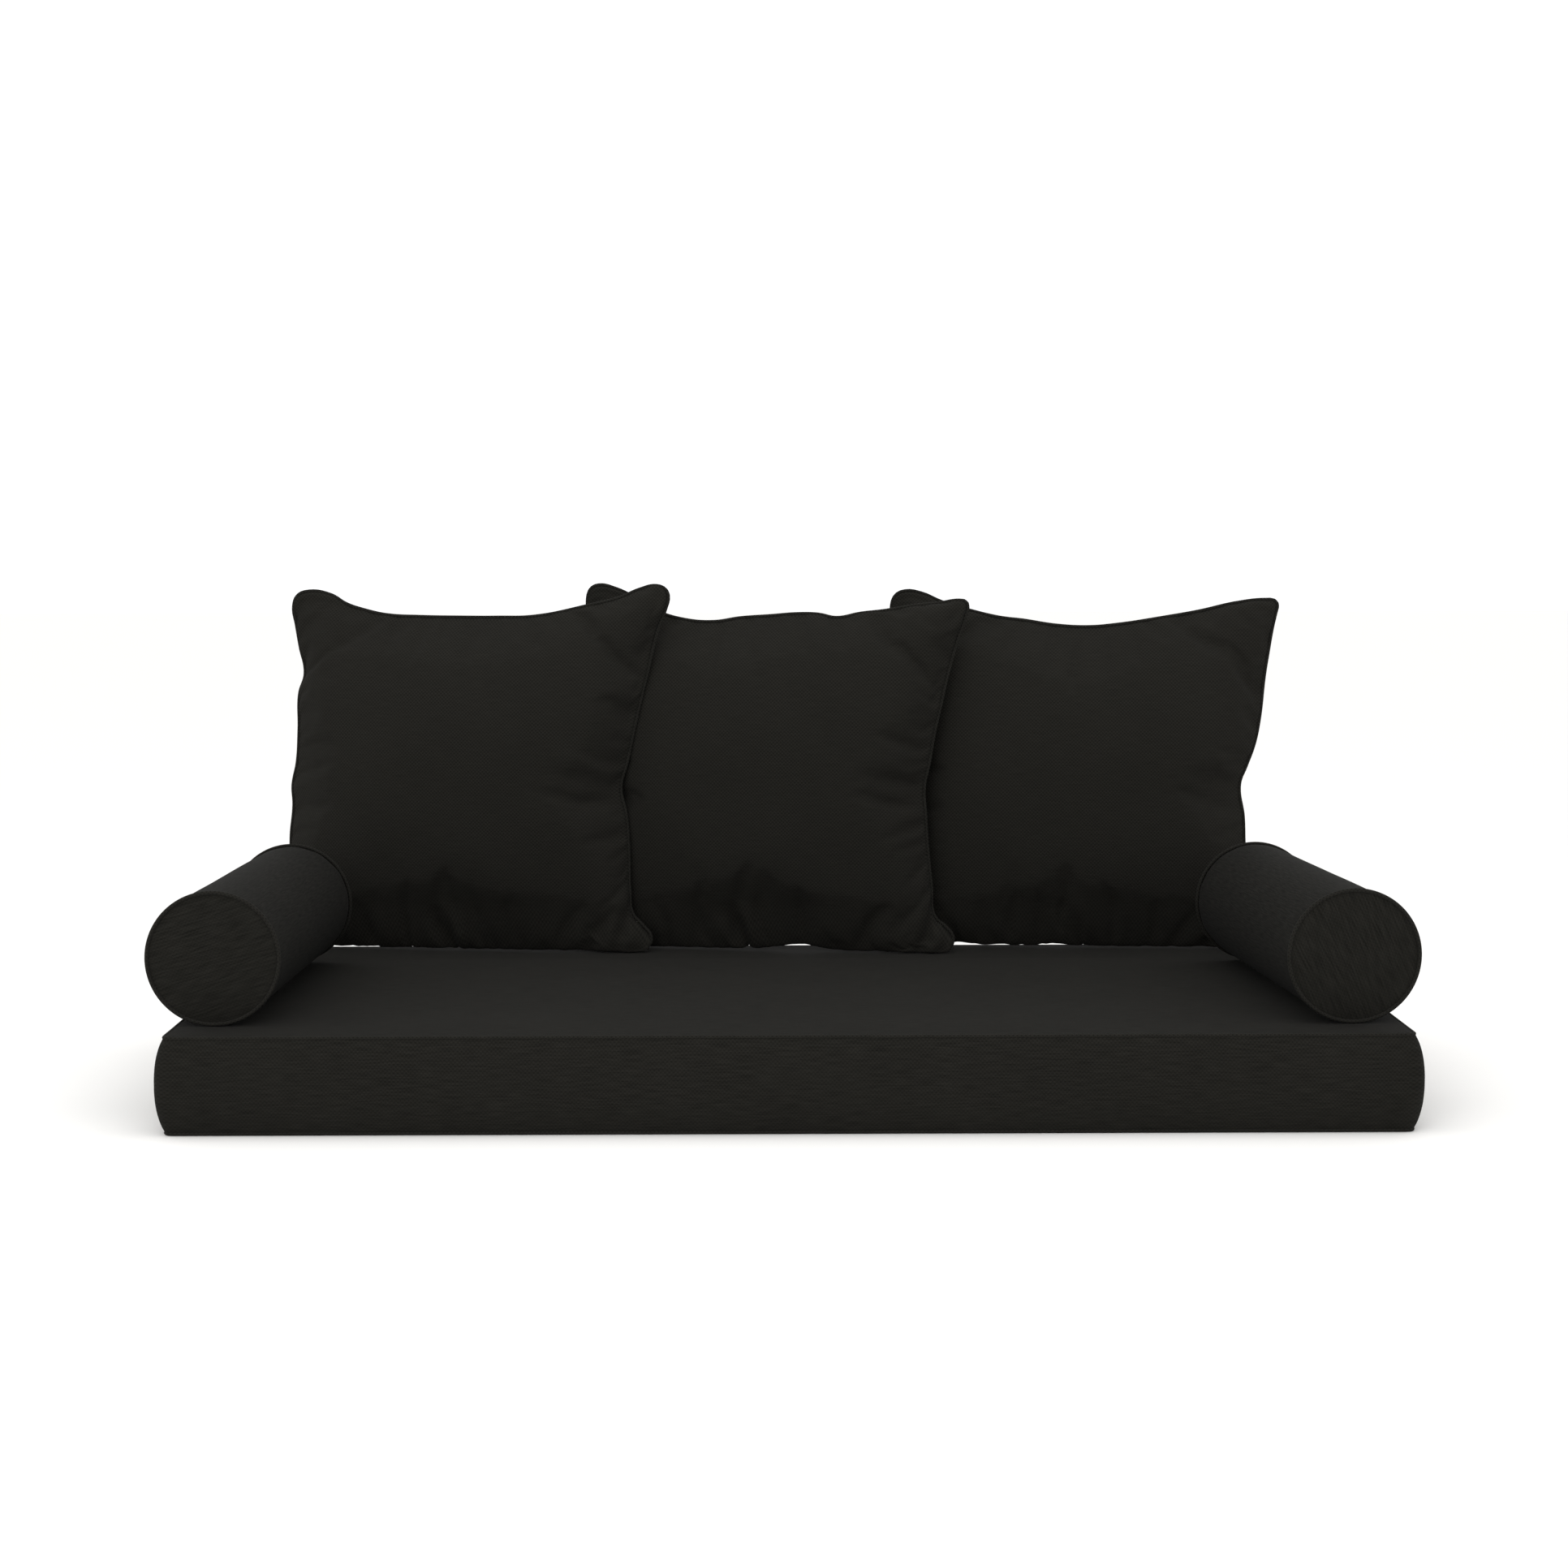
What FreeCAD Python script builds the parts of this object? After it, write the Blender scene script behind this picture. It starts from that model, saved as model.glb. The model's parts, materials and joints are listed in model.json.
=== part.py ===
import FreeCAD, Part
import math
import os

# Daybed set: a box-edged mattress, three back pillows and two end bolsters, all zipped and piped.
# Origin: centre of the mattress underside. +X to the right and +Y to the back as one faces the set.
# Lengths are in millimetres and angles in degrees.

Vector = FreeCAD.Vector
X_AXIS = Vector(1, 0, 0)
Y_AXIS = Vector(0, 1, 0)
Z_AXIS = Vector(0, 0, 1)

# Cloth and sewing
FABRIC = 1.2
WELT_RADIUS = 3.0
SEAM_GAP = 0.2
REST_GAP = 0.4

# Mattress: 75 x 39 x 6 inches over the piping
MATTRESS_WIDTH = 1905.0
MATTRESS_DEPTH = 990.0
MATTRESS_HEIGHT = 152.0
MATTRESS_CORNER = 16.0
BOXING_BULGE = 14.0
MATTRESS_BATTING = 10.0
SIDE_BATTING_EDGE = 6.0
SIDE_BATTING_BULGE = 7.0
ZIP_BAND_WIDTH = 1860.0

# Pillows: 26 inch squares before filling. Each side curves in between its two ears. The
# right side also tapers towards the bottom and is pinched in at one height. The smooth
# seam line dips a little below the level of the bottom ears.
PILLOW_HALF_WIDTH = 356.0
PILLOW_HEIGHT = 662.0
PILLOW_CROWN = 84.0
PILLOW_LEAN = 4.0
EAR_RADIUS = 30.0
OUTLINE_DIP = 1.0
PULL_IN_LEFT = 10.0
PULL_IN_BOTTOM = 12.0
SIDE_POWER = 2.0
EDGE_POWER = 3.0
RIGHT_SKEW = 0.35
TAPER_HEIGHT = 400.0
PINCH_HEIGHT = 303.0
PINCH_SPREAD = 36.0
PILLOW_CUTS = {
    "left": {"top": 50.0, "right": 62.0, "taper": 30.0, "pinch": 16.0},
    "middle": {"top": 50.0, "right": 58.0, "taper": 30.0, "pinch": 10.0},
    "right": {"top": 66.0, "right": 40.0, "taper": 30.0, "pinch": 20.0},
}
BOTTOM_POINTS = 8
RIGHT_POINTS = 16
TOP_POINTS = 10
LEFT_POINTS = 8
CROWN_POWER = 2.6
CROWN_STEPS = 16
PANEL_EDGE_GAP = 0.3
INSERT_INSET = 14.0
INSERT_SLACK = 6.0
PILLOW_ZIP_HEIGHT = 48.0
PILLOW_PLACES = {
    "left": {"x": -565.0, "y": 451.0, "yaw": 9.0},
    "middle": {"x": -23.0, "y": 437.0, "yaw": 10.0},
    "right": {"x": 545.0, "y": 467.0, "yaw": 4.5},
}

# Bolsters: 8 inches across and 27 1/2 inches long
BOLSTER_LENGTH = 700.0
BOLSTER_RING_RADIUS = 102.4
BOLSTER_TUBE_RADIUS = 102.0
BOLSTER_FOAM_RADIUS = 80.0
BOLSTER_BATTING_RADIUS = 95.0
BOLSTER_ZIP_ANGLE = 30.0
BOLSTER_PLACES = {
    "left": {"x": -881.0, "y": -55.0, "yaw": 1.2, "outward": -1},
    "right": {"x": 852.0, "y": -60.0, "yaw": -3.3, "outward": 1},
}

# Zips: number 5 coil chain with a locking slider. Their own axes are U along the chain,
# V across it and W out of the cover, built here as X, Y and Z.
TAPE_WIDTH = 12.0
TAPE_THICKNESS = 0.8
TAPE_SEPARATION = 1.6
COIL_RADIUS = 1.0
COIL_GAP = 1.1
SLOT_HALF_WIDTH = 6.0
ZIP_DEPTH = 2.9
STOP_LENGTH = 3.0
SLIDER_LENGTH = 11.0
SLIDER_WIDTH = 9.0
SLIDER_PLATE = 1.0
SLIDER_CLEARANCE = 0.4
SLIDER_LIP = 0.7
POST_LENGTH = 2.4
POST_WIDTH = 0.5
BAIL_LENGTH = 5.0
BAIL_WIDTH = 1.6
BAIL_HEIGHT = 3.6
BAIL_HOLE_RADIUS = 1.0
PULL_PIN_RADIUS = 0.6
PULL_ARM_INNER = 1.2
PULL_ARM_WIDTH = 1.0
PULL_ARM_REACH = 4.0
PULL_WIDTH = 6.0
PULL_LENGTH = 26.0
PULL_THICKNESS = 1.2
PULL_HOLE_RADIUS = 1.5
END_ALLOWANCE = 4.0
ZIP_LENGTHS = {"mattress": 1700.0, "pillow": 380.0, "bolster": 560.0}

# Heights in a zip's own frame
PLATE_TOP = COIL_RADIUS + SLIDER_CLEARANCE + SLIDER_PLATE
PIVOT_HEIGHT = PLATE_TOP + BAIL_HEIGHT / 2


def box_between(low, high):
    size = [b - a for a, b in zip(low, high)]
    return Part.makeBox(*size, Vector(*low))


def rounded_rectangle(half_x, half_y, radius, z):
    """A closed wire that starts at the middle of its front side and runs to the right."""
    flat_x = half_x - radius
    flat_y = half_y - radius
    diagonal = radius * math.sqrt(0.5)
    edges = []
    start = Vector(0, -half_y, z)
    for sign_x, sign_y in ((1, -1), (1, 1), (-1, 1), (-1, -1)):
        before = Vector(sign_x * flat_x, sign_y * half_y, z)
        after = Vector(sign_x * half_x, sign_y * flat_y, z)
        if sign_x != -sign_y:
            before, after = after, before
        middle = Vector(sign_x * (flat_x + diagonal), sign_y * (flat_y + diagonal), z)
        edges.append(Part.makeLine(start, before))
        edges.append(Part.Arc(before, middle, after).toShape())
        start = after
    edges.append(Part.makeLine(start, Vector(0, -half_y, z)))
    return Part.Wire(edges)


def rounded_slab(half_x, half_y, radius, z_low, z_high):
    face = Part.Face(rounded_rectangle(half_x, half_y, radius, z_low))
    return face.extrude(Vector(0, 0, z_high - z_low))


def swept(path, profile):
    solid = path.makePipeShell([profile], True, False)
    if solid.Volume < 0:
        solid.reverse()
    return solid


# ---------------------------------------------------------------- zips


def zip_tapes(length):
    """Two cloth tapes, one each side of the chain."""
    tapes = []
    inner = TAPE_SEPARATION / 2 + COIL_RADIUS * 2
    for side in (-1, 1):
        near = side * inner
        far = side * (inner + TAPE_WIDTH)
        low = (-length / 2, min(near, far), -TAPE_THICKNESS / 2)
        high = (length / 2, max(near, far), TAPE_THICKNESS / 2)
        tapes.append(box_between(low, high))
    return tapes


def zip_coils(length):
    """Two coil rows, each a rod of the coil's outer diameter."""
    rows = []
    chain = length - 2 * STOP_LENGTH
    for side in (-1, 1):
        centre = side * (COIL_GAP / 2 + COIL_RADIUS)
        rows.append(Part.makeCylinder(COIL_RADIUS, chain, Vector(-chain / 2, centre, 0), X_AXIS))
    return rows


def zip_stops(length):
    """A clamped stop across both rows at each end of the chain."""
    half_width = COIL_GAP / 2 + 2 * COIL_RADIUS
    stops = []
    for start in (-length / 2, length / 2 - STOP_LENGTH):
        low = (start, -half_width, -COIL_RADIUS)
        high = (start + STOP_LENGTH, half_width, COIL_RADIUS)
        stops.append(box_between(low, high))
    return stops


def zip_slider(length):
    """Two plates with turned lips, the post between them and the bail that holds the pull."""
    centre = slider_rest(length)
    half_length = SLIDER_LENGTH / 2
    half_width = SLIDER_WIDTH / 2
    plate_bottom = PLATE_TOP - SLIDER_PLATE
    lip_bottom = TAPE_THICKNESS / 2 + SLIDER_CLEARANCE
    body = box_between(
        (centre - POST_LENGTH / 2, -POST_WIDTH / 2, -PLATE_TOP),
        (centre + POST_LENGTH / 2, POST_WIDTH / 2, PLATE_TOP),
    )
    for side in (-1, 1):
        low_w, high_w = sorted((side * plate_bottom, side * PLATE_TOP))
        plate = box_between(
            (centre - half_length, -half_width, low_w), (centre + half_length, half_width, high_w)
        )
        upright = [edge for edge in plate.Edges if abs(edge.tangentAt(edge.FirstParameter).z) > 0.9]
        body = body.fuse(plate.makeFillet(SLIDER_LIP * 2, upright))
        low_w, high_w = sorted((side * lip_bottom, side * plate_bottom))
        for edge_sign in (-1, 1):
            low_v, high_v = sorted((edge_sign * (half_width - SLIDER_LIP), edge_sign * half_width))
            lip = box_between(
                (centre - half_length / 2, low_v, low_w), (centre + half_length / 2, high_v, high_w)
            )
            body = body.fuse(lip)
    bail = box_between(
        (centre - BAIL_LENGTH / 2, -BAIL_WIDTH / 2, PLATE_TOP),
        (centre + BAIL_LENGTH / 2, BAIL_WIDTH / 2, PLATE_TOP + BAIL_HEIGHT),
    )
    shoulders = [
        edge
        for edge in bail.Edges
        if abs(edge.tangentAt(edge.FirstParameter).y) > 0.9 and edge.CenterOfMass.z > PIVOT_HEIGHT
    ]
    bail = bail.makeFillet(BAIL_HEIGHT / 3, shoulders)
    hole = Part.makeCylinder(
        BAIL_HOLE_RADIUS, 2 * BAIL_WIDTH, Vector(centre, -BAIL_WIDTH, PIVOT_HEIGHT), Y_AXIS
    )
    return body.fuse(bail).cut(hole).removeSplitter()


def slider_rest(length):
    """The slider's centre along the chain when the zip is closed."""
    return -length / 2 + STOP_LENGTH + END_ALLOWANCE + SLIDER_LENGTH / 2


def zip_pull(length):
    """A flat tab with two arms and a round pin that turns in the bail."""
    centre = slider_rest(length)
    arm_outer = PULL_ARM_INNER + PULL_ARM_WIDTH
    pin_origin = Vector(centre, -arm_outer, PIVOT_HEIGHT)
    pull = Part.makeCylinder(PULL_PIN_RADIUS, 2 * arm_outer, pin_origin, Y_AXIS)
    half_thickness = PULL_THICKNESS / 2
    for side in (-1, 1):
        low_v, high_v = sorted((side * PULL_ARM_INNER, side * arm_outer))
        arm = box_between(
            (centre, low_v, PIVOT_HEIGHT - half_thickness),
            (centre + PULL_ARM_REACH + 1, high_v, PIVOT_HEIGHT + half_thickness),
        )
        knuckle = Part.makeCylinder(
            half_thickness, PULL_ARM_WIDTH, Vector(centre, low_v, PIVOT_HEIGHT), Y_AXIS
        )
        pull = pull.fuse(arm).fuse(knuckle)
    tab = box_between(
        (centre + PULL_ARM_REACH, -PULL_WIDTH / 2, PIVOT_HEIGHT - half_thickness),
        (centre + PULL_LENGTH, PULL_WIDTH / 2, PIVOT_HEIGHT + half_thickness),
    )
    corners = [edge for edge in tab.Edges if abs(edge.tangentAt(edge.FirstParameter).z) > 0.9]
    tab = tab.makeFillet(PULL_WIDTH / 4, corners)
    finger_hole = Part.makeCylinder(
        PULL_HOLE_RADIUS,
        2 * PULL_THICKNESS,
        Vector(centre + PULL_LENGTH - 2 * PULL_HOLE_RADIUS, 0, PIVOT_HEIGHT - PULL_THICKNESS),
        Z_AXIS,
    )
    return pull.fuse(tab.cut(finger_hole)).removeSplitter()


def frame_placement(origin, u_axis, w_axis):
    """The placement that takes U, V and W to u_axis, w_axis x u_axis and w_axis at origin."""
    v_axis = w_axis.cross(u_axis)
    matrix = FreeCAD.Matrix(
        *(u_axis.x, v_axis.x, w_axis.x, origin.x),
        *(u_axis.y, v_axis.y, w_axis.y, origin.y),
        *(u_axis.z, v_axis.z, w_axis.z, origin.z),
        *(0, 0, 0, 1),
    )
    return FreeCAD.Placement(matrix)


def placed(shape, placement):
    moved = shape.copy()
    moved.Placement = placement.multiply(moved.Placement)
    return moved


# ---------------------------------------------------------------- mattress


def mattress_zip_placement():
    depth = MATTRESS_DEPTH / 2 + BOXING_BULGE - ZIP_DEPTH
    origin = Vector(0, depth, MATTRESS_HEIGHT / 2)
    return frame_placement(origin, -X_AXIS, Y_AXIS)


def band_profile(seam_y, z_low, z_high, bulge, thickness):
    """A thin curved strip in the YZ plane at the middle of the front side."""
    middle_z = (z_low + z_high) / 2
    outer = Part.Arc(
        Vector(0, -seam_y, z_low), Vector(0, -seam_y - bulge, middle_z), Vector(0, -seam_y, z_high)
    )
    inner = Part.Arc(
        Vector(0, -seam_y + thickness, z_low),
        Vector(0, -seam_y - bulge + thickness, middle_z),
        Vector(0, -seam_y + thickness, z_high),
    )
    bottom = Part.makeLine(outer.StartPoint, inner.StartPoint)
    top = Part.makeLine(outer.EndPoint, inner.EndPoint)
    return Part.Wire([outer.toShape(), top, inner.toShape(), bottom])


def batting_band_profile(inner_y, outer_y, z_low, z_high, bulge):
    """A strip with a straight inner side and a crowned outer side."""
    middle_z = (z_low + z_high) / 2
    outer = Part.Arc(
        Vector(0, -outer_y, z_low), Vector(0, -outer_y - bulge, middle_z), Vector(0, -outer_y, z_high)
    )
    top = Part.makeLine(Vector(0, -outer_y, z_high), Vector(0, -inner_y, z_high))
    inner = Part.makeLine(Vector(0, -inner_y, z_high), Vector(0, -inner_y, z_low))
    bottom = Part.makeLine(Vector(0, -inner_y, z_low), Vector(0, -outer_y, z_low))
    return Part.Wire([outer.toShape(), top, inner, bottom])


def mattress_parts():
    half_x = MATTRESS_WIDTH / 2
    half_y = MATTRESS_DEPTH / 2
    welt_x = half_x - WELT_RADIUS
    welt_y = half_y - WELT_RADIUS
    welt_corner = MATTRESS_CORNER - WELT_RADIUS
    bottom_welt_z = WELT_RADIUS
    top_welt_z = MATTRESS_HEIGHT - WELT_RADIUS
    panel_inset = 2 * WELT_RADIUS + SEAM_GAP
    panel_corner = MATTRESS_CORNER - panel_inset
    panel = (half_x - panel_inset, half_y - panel_inset, panel_corner)

    parts = {}
    parts["mattress_bottom_panel"] = rounded_slab(*panel, 0, FABRIC)
    parts["mattress_top_panel"] = rounded_slab(*panel, MATTRESS_HEIGHT - FABRIC, MATTRESS_HEIGHT)

    for name, height in (("bottom", bottom_welt_z), ("top", top_welt_z)):
        path = rounded_rectangle(welt_x, welt_y, welt_corner, height)
        circle = Part.Wire([Part.makeCircle(WELT_RADIUS, Vector(0, -welt_y, height), X_AXIS)])
        parts["mattress_%s_welt" % name] = swept(path, circle)

    band_low = 2 * WELT_RADIUS + SEAM_GAP
    band_high = MATTRESS_HEIGHT - band_low
    path = rounded_rectangle(half_x, half_y, MATTRESS_CORNER, MATTRESS_HEIGHT / 2)
    band = swept(path, band_profile(half_y, band_low, band_high, BOXING_BULGE, FABRIC))
    half_band = ZIP_BAND_WIDTH / 2
    middle = MATTRESS_HEIGHT / 2
    opening = box_between((-half_band, 0, 0), (half_band, MATTRESS_DEPTH, MATTRESS_HEIGHT))
    parts["mattress_boxing"] = band.cut(opening)
    strip = half_band - SEAM_GAP
    upper = box_between((-strip, 0, middle + SLOT_HALF_WIDTH), (strip, MATTRESS_DEPTH, MATTRESS_HEIGHT))
    lower = box_between((-strip, 0, 0), (strip, MATTRESS_DEPTH, middle - SLOT_HALF_WIDTH))
    parts["mattress_zip_band_upper"] = band.common(upper)
    parts["mattress_zip_band_lower"] = band.common(lower)

    inside_low = FABRIC + REST_GAP
    inside_high = MATTRESS_HEIGHT - inside_low
    core_low = inside_low + MATTRESS_BATTING
    core_high = inside_high - MATTRESS_BATTING
    parts["mattress_batting_bottom"] = rounded_slab(*panel, inside_low, core_low)
    parts["mattress_batting_top"] = rounded_slab(*panel, core_high, inside_high)
    core_inset = panel_inset + SIDE_BATTING_EDGE
    core = (half_x - core_inset, half_y - core_inset, panel_corner - SIDE_BATTING_EDGE)
    parts["mattress_foam_core"] = rounded_slab(*core, core_low + SEAM_GAP, core_high - SEAM_GAP)
    batting_edge = half_y - panel_inset
    profile = batting_band_profile(
        core[1] + SEAM_GAP, batting_edge, core_low + SEAM_GAP, core_high - SEAM_GAP, SIDE_BATTING_BULGE
    )
    path = rounded_rectangle(panel[0], panel[1], panel[2], MATTRESS_HEIGHT / 2)
    parts["mattress_batting_sides"] = swept(path, profile)

    length = ZIP_LENGTHS["mattress"]
    place = mattress_zip_placement()
    tape_length = ZIP_BAND_WIDTH - 4 * SEAM_GAP
    parts["mattress_zip_tape"] = placed(Part.makeCompound(zip_tapes(tape_length)), place)
    parts["mattress_zip_coil"] = placed(Part.makeCompound(zip_coils(length)), place)
    parts["mattress_zip_stops"] = placed(Part.makeCompound(zip_stops(length)), place)
    parts["mattress_zip_slider"] = placed(zip_slider(length), place)
    parts["mattress_zip_pull"] = placed(zip_pull(length), place)
    return parts


# ---------------------------------------------------------------- pillows
# A pillow's own axes are X across it, Y out of its back and Z up it, from the middle of
# its bottom edge.


def bowed(position, middle, half_span, power):
    """1 at the middle of a side and 0 at its ears."""
    return 1 - min(1, abs(position - middle) / (half_span - EAR_RADIUS)) ** power


def left_edge(z):
    half = PILLOW_HEIGHT / 2
    return -PILLOW_HALF_WIDTH + PULL_IN_LEFT * bowed(z, half, half, SIDE_POWER)


def right_edge(cut, z):
    half = PILLOW_HEIGHT / 2
    skew = 1 - RIGHT_SKEW * (z - half) / half
    pull = cut["right"] * bowed(z, half, half, SIDE_POWER) * skew
    taper = cut["taper"] * max(0, 1 - z / TAPER_HEIGHT)
    pinch = cut["pinch"] * math.exp(-(((z - PINCH_HEIGHT) / PINCH_SPREAD) ** 2))
    return PILLOW_HALF_WIDTH - pull - taper - pinch


def bottom_edge(x):
    return PULL_IN_BOTTOM * bowed(x, 0, PILLOW_HALF_WIDTH, EDGE_POWER)


def top_edge(cut, x):
    return PILLOW_HEIGHT - cut["top"] * bowed(x, 0, PILLOW_HALF_WIDTH, EDGE_POWER)


def spaced_between(start, end, count):
    """Evenly spaced values that leave out both ends."""
    return [start + (end - start) * (k + 1) / (count + 1) for k in range(count)]


def ear(corner_x, corner_z, sign_x, sign_z):
    """Three points of the round ear at a corner: beside it, at its tip and above or below."""
    tip = EAR_RADIUS * (1 - math.sqrt(0.5))
    beside = (corner_x, corner_z - sign_z * EAR_RADIUS)
    middle = (corner_x - sign_x * tip, corner_z - sign_z * tip)
    above = (corner_x - sign_x * EAR_RADIUS, corner_z)
    return [beside, middle, above]


def outline_points(cut):
    """The seam line as points, from the bottom left ear round to the right."""
    low_right = right_edge(cut, 0)
    left = -PILLOW_HALF_WIDTH
    low = EAR_RADIUS
    high = PILLOW_HEIGHT - EAR_RADIUS
    points = [(x, bottom_edge(x)) for x in spaced_between(left + low, low_right - low, BOTTOM_POINTS)]
    points += ear(low_right, 0, 1, -1)[::-1]
    points += [(right_edge(cut, z), z) for z in spaced_between(low, high, RIGHT_POINTS)]
    points += ear(PILLOW_HALF_WIDTH, PILLOW_HEIGHT, 1, 1)
    points += [(x, top_edge(cut, x)) for x in spaced_between(-left - low, left + low, TOP_POINTS)]
    points += ear(left, PILLOW_HEIGHT, -1, 1)[::-1]
    points += [(left_edge(z), z) for z in spaced_between(high, low, LEFT_POINTS)]
    points += ear(left, 0, -1, -1)
    return points


def pillow_outline(cut, inset, y=0.0):
    """The outline drawn in by inset, as a closed wire in the plane at y."""
    points = outline_points(cut)
    drawn_in = []
    for index, (x, z) in enumerate(points):
        before = points[index - 1]
        after = points[(index + 1) % len(points)]
        run_x = after[0] - before[0]
        run_z = after[1] - before[1]
        share = inset / math.hypot(run_x, run_z)
        drawn_in.append(Vector(x - run_z * share, y, z + run_x * share))
    curve = Part.BSplineCurve()
    curve.interpolate(Points=drawn_in, PeriodicFlag=True)
    return Part.Wire([curve.toShape()])


def crown_face(cut, crown, inset, side, lift):
    """The domed face of one side. side is -1 for the front and 1 for the back, and lift is
    how far the whole face stands off the pillow's middle plane."""
    grid = []
    for i in range(CROWN_STEPS + 1):
        u = 2 * i / CROWN_STEPS - 1
        row = []
        for j in range(CROWN_STEPS + 1):
            v = 2 * j / CROWN_STEPS - 1
            level = PILLOW_HEIGHT * (v + 1) / 2
            left = left_edge(level) + inset
            right = right_edge(cut, level) - inset
            low = bottom_edge(PILLOW_HALF_WIDTH * u) + inset
            high = top_edge(cut, PILLOW_HALF_WIDTH * u) - inset
            x = left + (right - left) * (u + 1) / 2
            z = low + (high - low) * (v + 1) / 2
            dome = (1 - abs(u) ** CROWN_POWER) * (1 - abs(v) ** CROWN_POWER)
            row.append(Vector(x, side * (lift + crown * dome), z))
        grid.append(row)
    surface = Part.BSplineSurface()
    surface.interpolate(grid)
    return surface.toShape()


def outline_prism(cut, inset):
    reach = 2 * PILLOW_CROWN
    return Part.Face(pillow_outline(cut, inset, -reach)).extrude(Vector(0, 2 * reach, 0))


def crowned_sheet(cut, crown, face_inset, trim_inset, side):
    """A cloth sheet in the shape of one side, cut to the outline."""
    face = crown_face(cut, crown, face_inset, side, PANEL_EDGE_GAP)
    return face.extrude(Vector(0, side * FABRIC, 0)).common(outline_prism(cut, trim_inset))


def crowned_filling(cut, crown, face_inset, trim_inset):
    reach = 3 * PILLOW_CROWN
    front = crown_face(cut, crown, face_inset, -1, 0).extrude(Vector(0, reach, 0))
    back = crown_face(cut, crown, face_inset, 1, 0).extrude(Vector(0, -reach, 0))
    return outline_prism(cut, trim_inset).common(front).common(back)


def pillow_zip_frame(cut):
    """Origin, U and W of the zip, which lies along the bottom of the back panel."""
    middle_span = PILLOW_HEIGHT - cut["top"] - PULL_IN_BOTTOM
    v = 1 - 2 * (PILLOW_ZIP_HEIGHT - PULL_IN_BOTTOM) / middle_span
    swell = PANEL_EDGE_GAP + FABRIC + PILLOW_CROWN * (1 - v**CROWN_POWER)
    slope = PILLOW_CROWN * CROWN_POWER * v ** (CROWN_POWER - 1) * 2 / middle_span
    outward = Vector(0, 1, -slope).normalize()
    origin = Vector(0, swell, PILLOW_ZIP_HEIGHT) - outward * ZIP_DEPTH
    return origin, -X_AXIS, outward


def pillow_placement(side):
    """Stands the pillow on the mattress: leans it back, turns it and sets it down."""
    place = PILLOW_PLACES[side]
    lean = FreeCAD.Rotation(X_AXIS, -PILLOW_LEAN)
    turn = FreeCAD.Rotation(Z_AXIS, -place["yaw"])
    height = MATTRESS_HEIGHT + REST_GAP + WELT_RADIUS + OUTLINE_DIP
    return FreeCAD.Placement(Vector(place["x"], place["y"], height), turn.multiply(lean))


def pillow_parts(side):
    cut = PILLOW_CUTS[side]
    parts = {}
    trim = WELT_RADIUS + SEAM_GAP
    parts["front_panel"] = crowned_sheet(cut, PILLOW_CROWN, 0, trim, -1)

    length = ZIP_LENGTHS["pillow"]
    zip_place = frame_placement(*pillow_zip_frame(cut))
    half_window = TAPE_SEPARATION / 2 + 2 * COIL_RADIUS + TAPE_WIDTH + SEAM_GAP
    window = box_between(
        (-length / 2 - SEAM_GAP, -half_window, -PILLOW_ZIP_HEIGHT / 3),
        (length / 2 + SEAM_GAP, half_window, PILLOW_ZIP_HEIGHT / 3),
    )
    parts["back_panel"] = crowned_sheet(cut, PILLOW_CROWN, 0, trim, 1).cut(placed(window, zip_place))

    path = pillow_outline(cut, 0)
    start = path.Vertexes[0].Point
    heading = path.Edges[0].tangentAt(path.Edges[0].FirstParameter)
    parts["welt"] = swept(path, Part.Wire([Part.makeCircle(WELT_RADIUS, start, heading)]))

    casing_crown = PILLOW_CROWN - INSERT_SLACK
    casing_trim = INSERT_INSET + SEAM_GAP
    casing = [crowned_sheet(cut, casing_crown, INSERT_INSET, casing_trim, s) for s in (-1, 1)]
    parts["insert_casing"] = Part.makeCompound(casing)
    fill_inset = casing_trim + FABRIC
    fill_crown = casing_crown - PANEL_EDGE_GAP
    parts["insert_fill"] = crowned_filling(cut, fill_crown, INSERT_INSET, fill_inset)

    chain = zip_tapes(length) + zip_coils(length) + zip_stops(length)
    parts["zip"] = placed(Part.makeCompound(chain), zip_place)
    parts["zip_slider"] = placed(zip_slider(length), zip_place)
    parts["zip_pull"] = placed(zip_pull(length), zip_place)

    place = pillow_placement(side)
    return {"%s_pillow_%s" % (side, name): placed(shape, place) for name, shape in parts.items()}


# ---------------------------------------------------------------- bolsters
# A bolster's own axes have Y along it, towards the back, and Z up, from its centre.


def bolster_zip_frame(side):
    """Origin, U and W of the zip, low on the side that faces away from the mattress."""
    angle = math.radians(BOLSTER_ZIP_ANGLE)
    outward = Vector(BOLSTER_PLACES[side]["outward"] * math.cos(angle), 0, -math.sin(angle))
    origin = outward * (BOLSTER_TUBE_RADIUS - ZIP_DEPTH)
    return origin, Y_AXIS, outward


def bolster_placement(side):
    place = BOLSTER_PLACES[side]
    height = MATTRESS_HEIGHT + REST_GAP + BOLSTER_RING_RADIUS + WELT_RADIUS
    turn = FreeCAD.Rotation(Z_AXIS, -place["yaw"])
    return FreeCAD.Placement(Vector(place["x"], place["y"], height), turn)


def cylinder_along_y(radius, y_low, y_high):
    return Part.makeCylinder(radius, y_high - y_low, Vector(0, y_low, 0), Y_AXIS)


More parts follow.
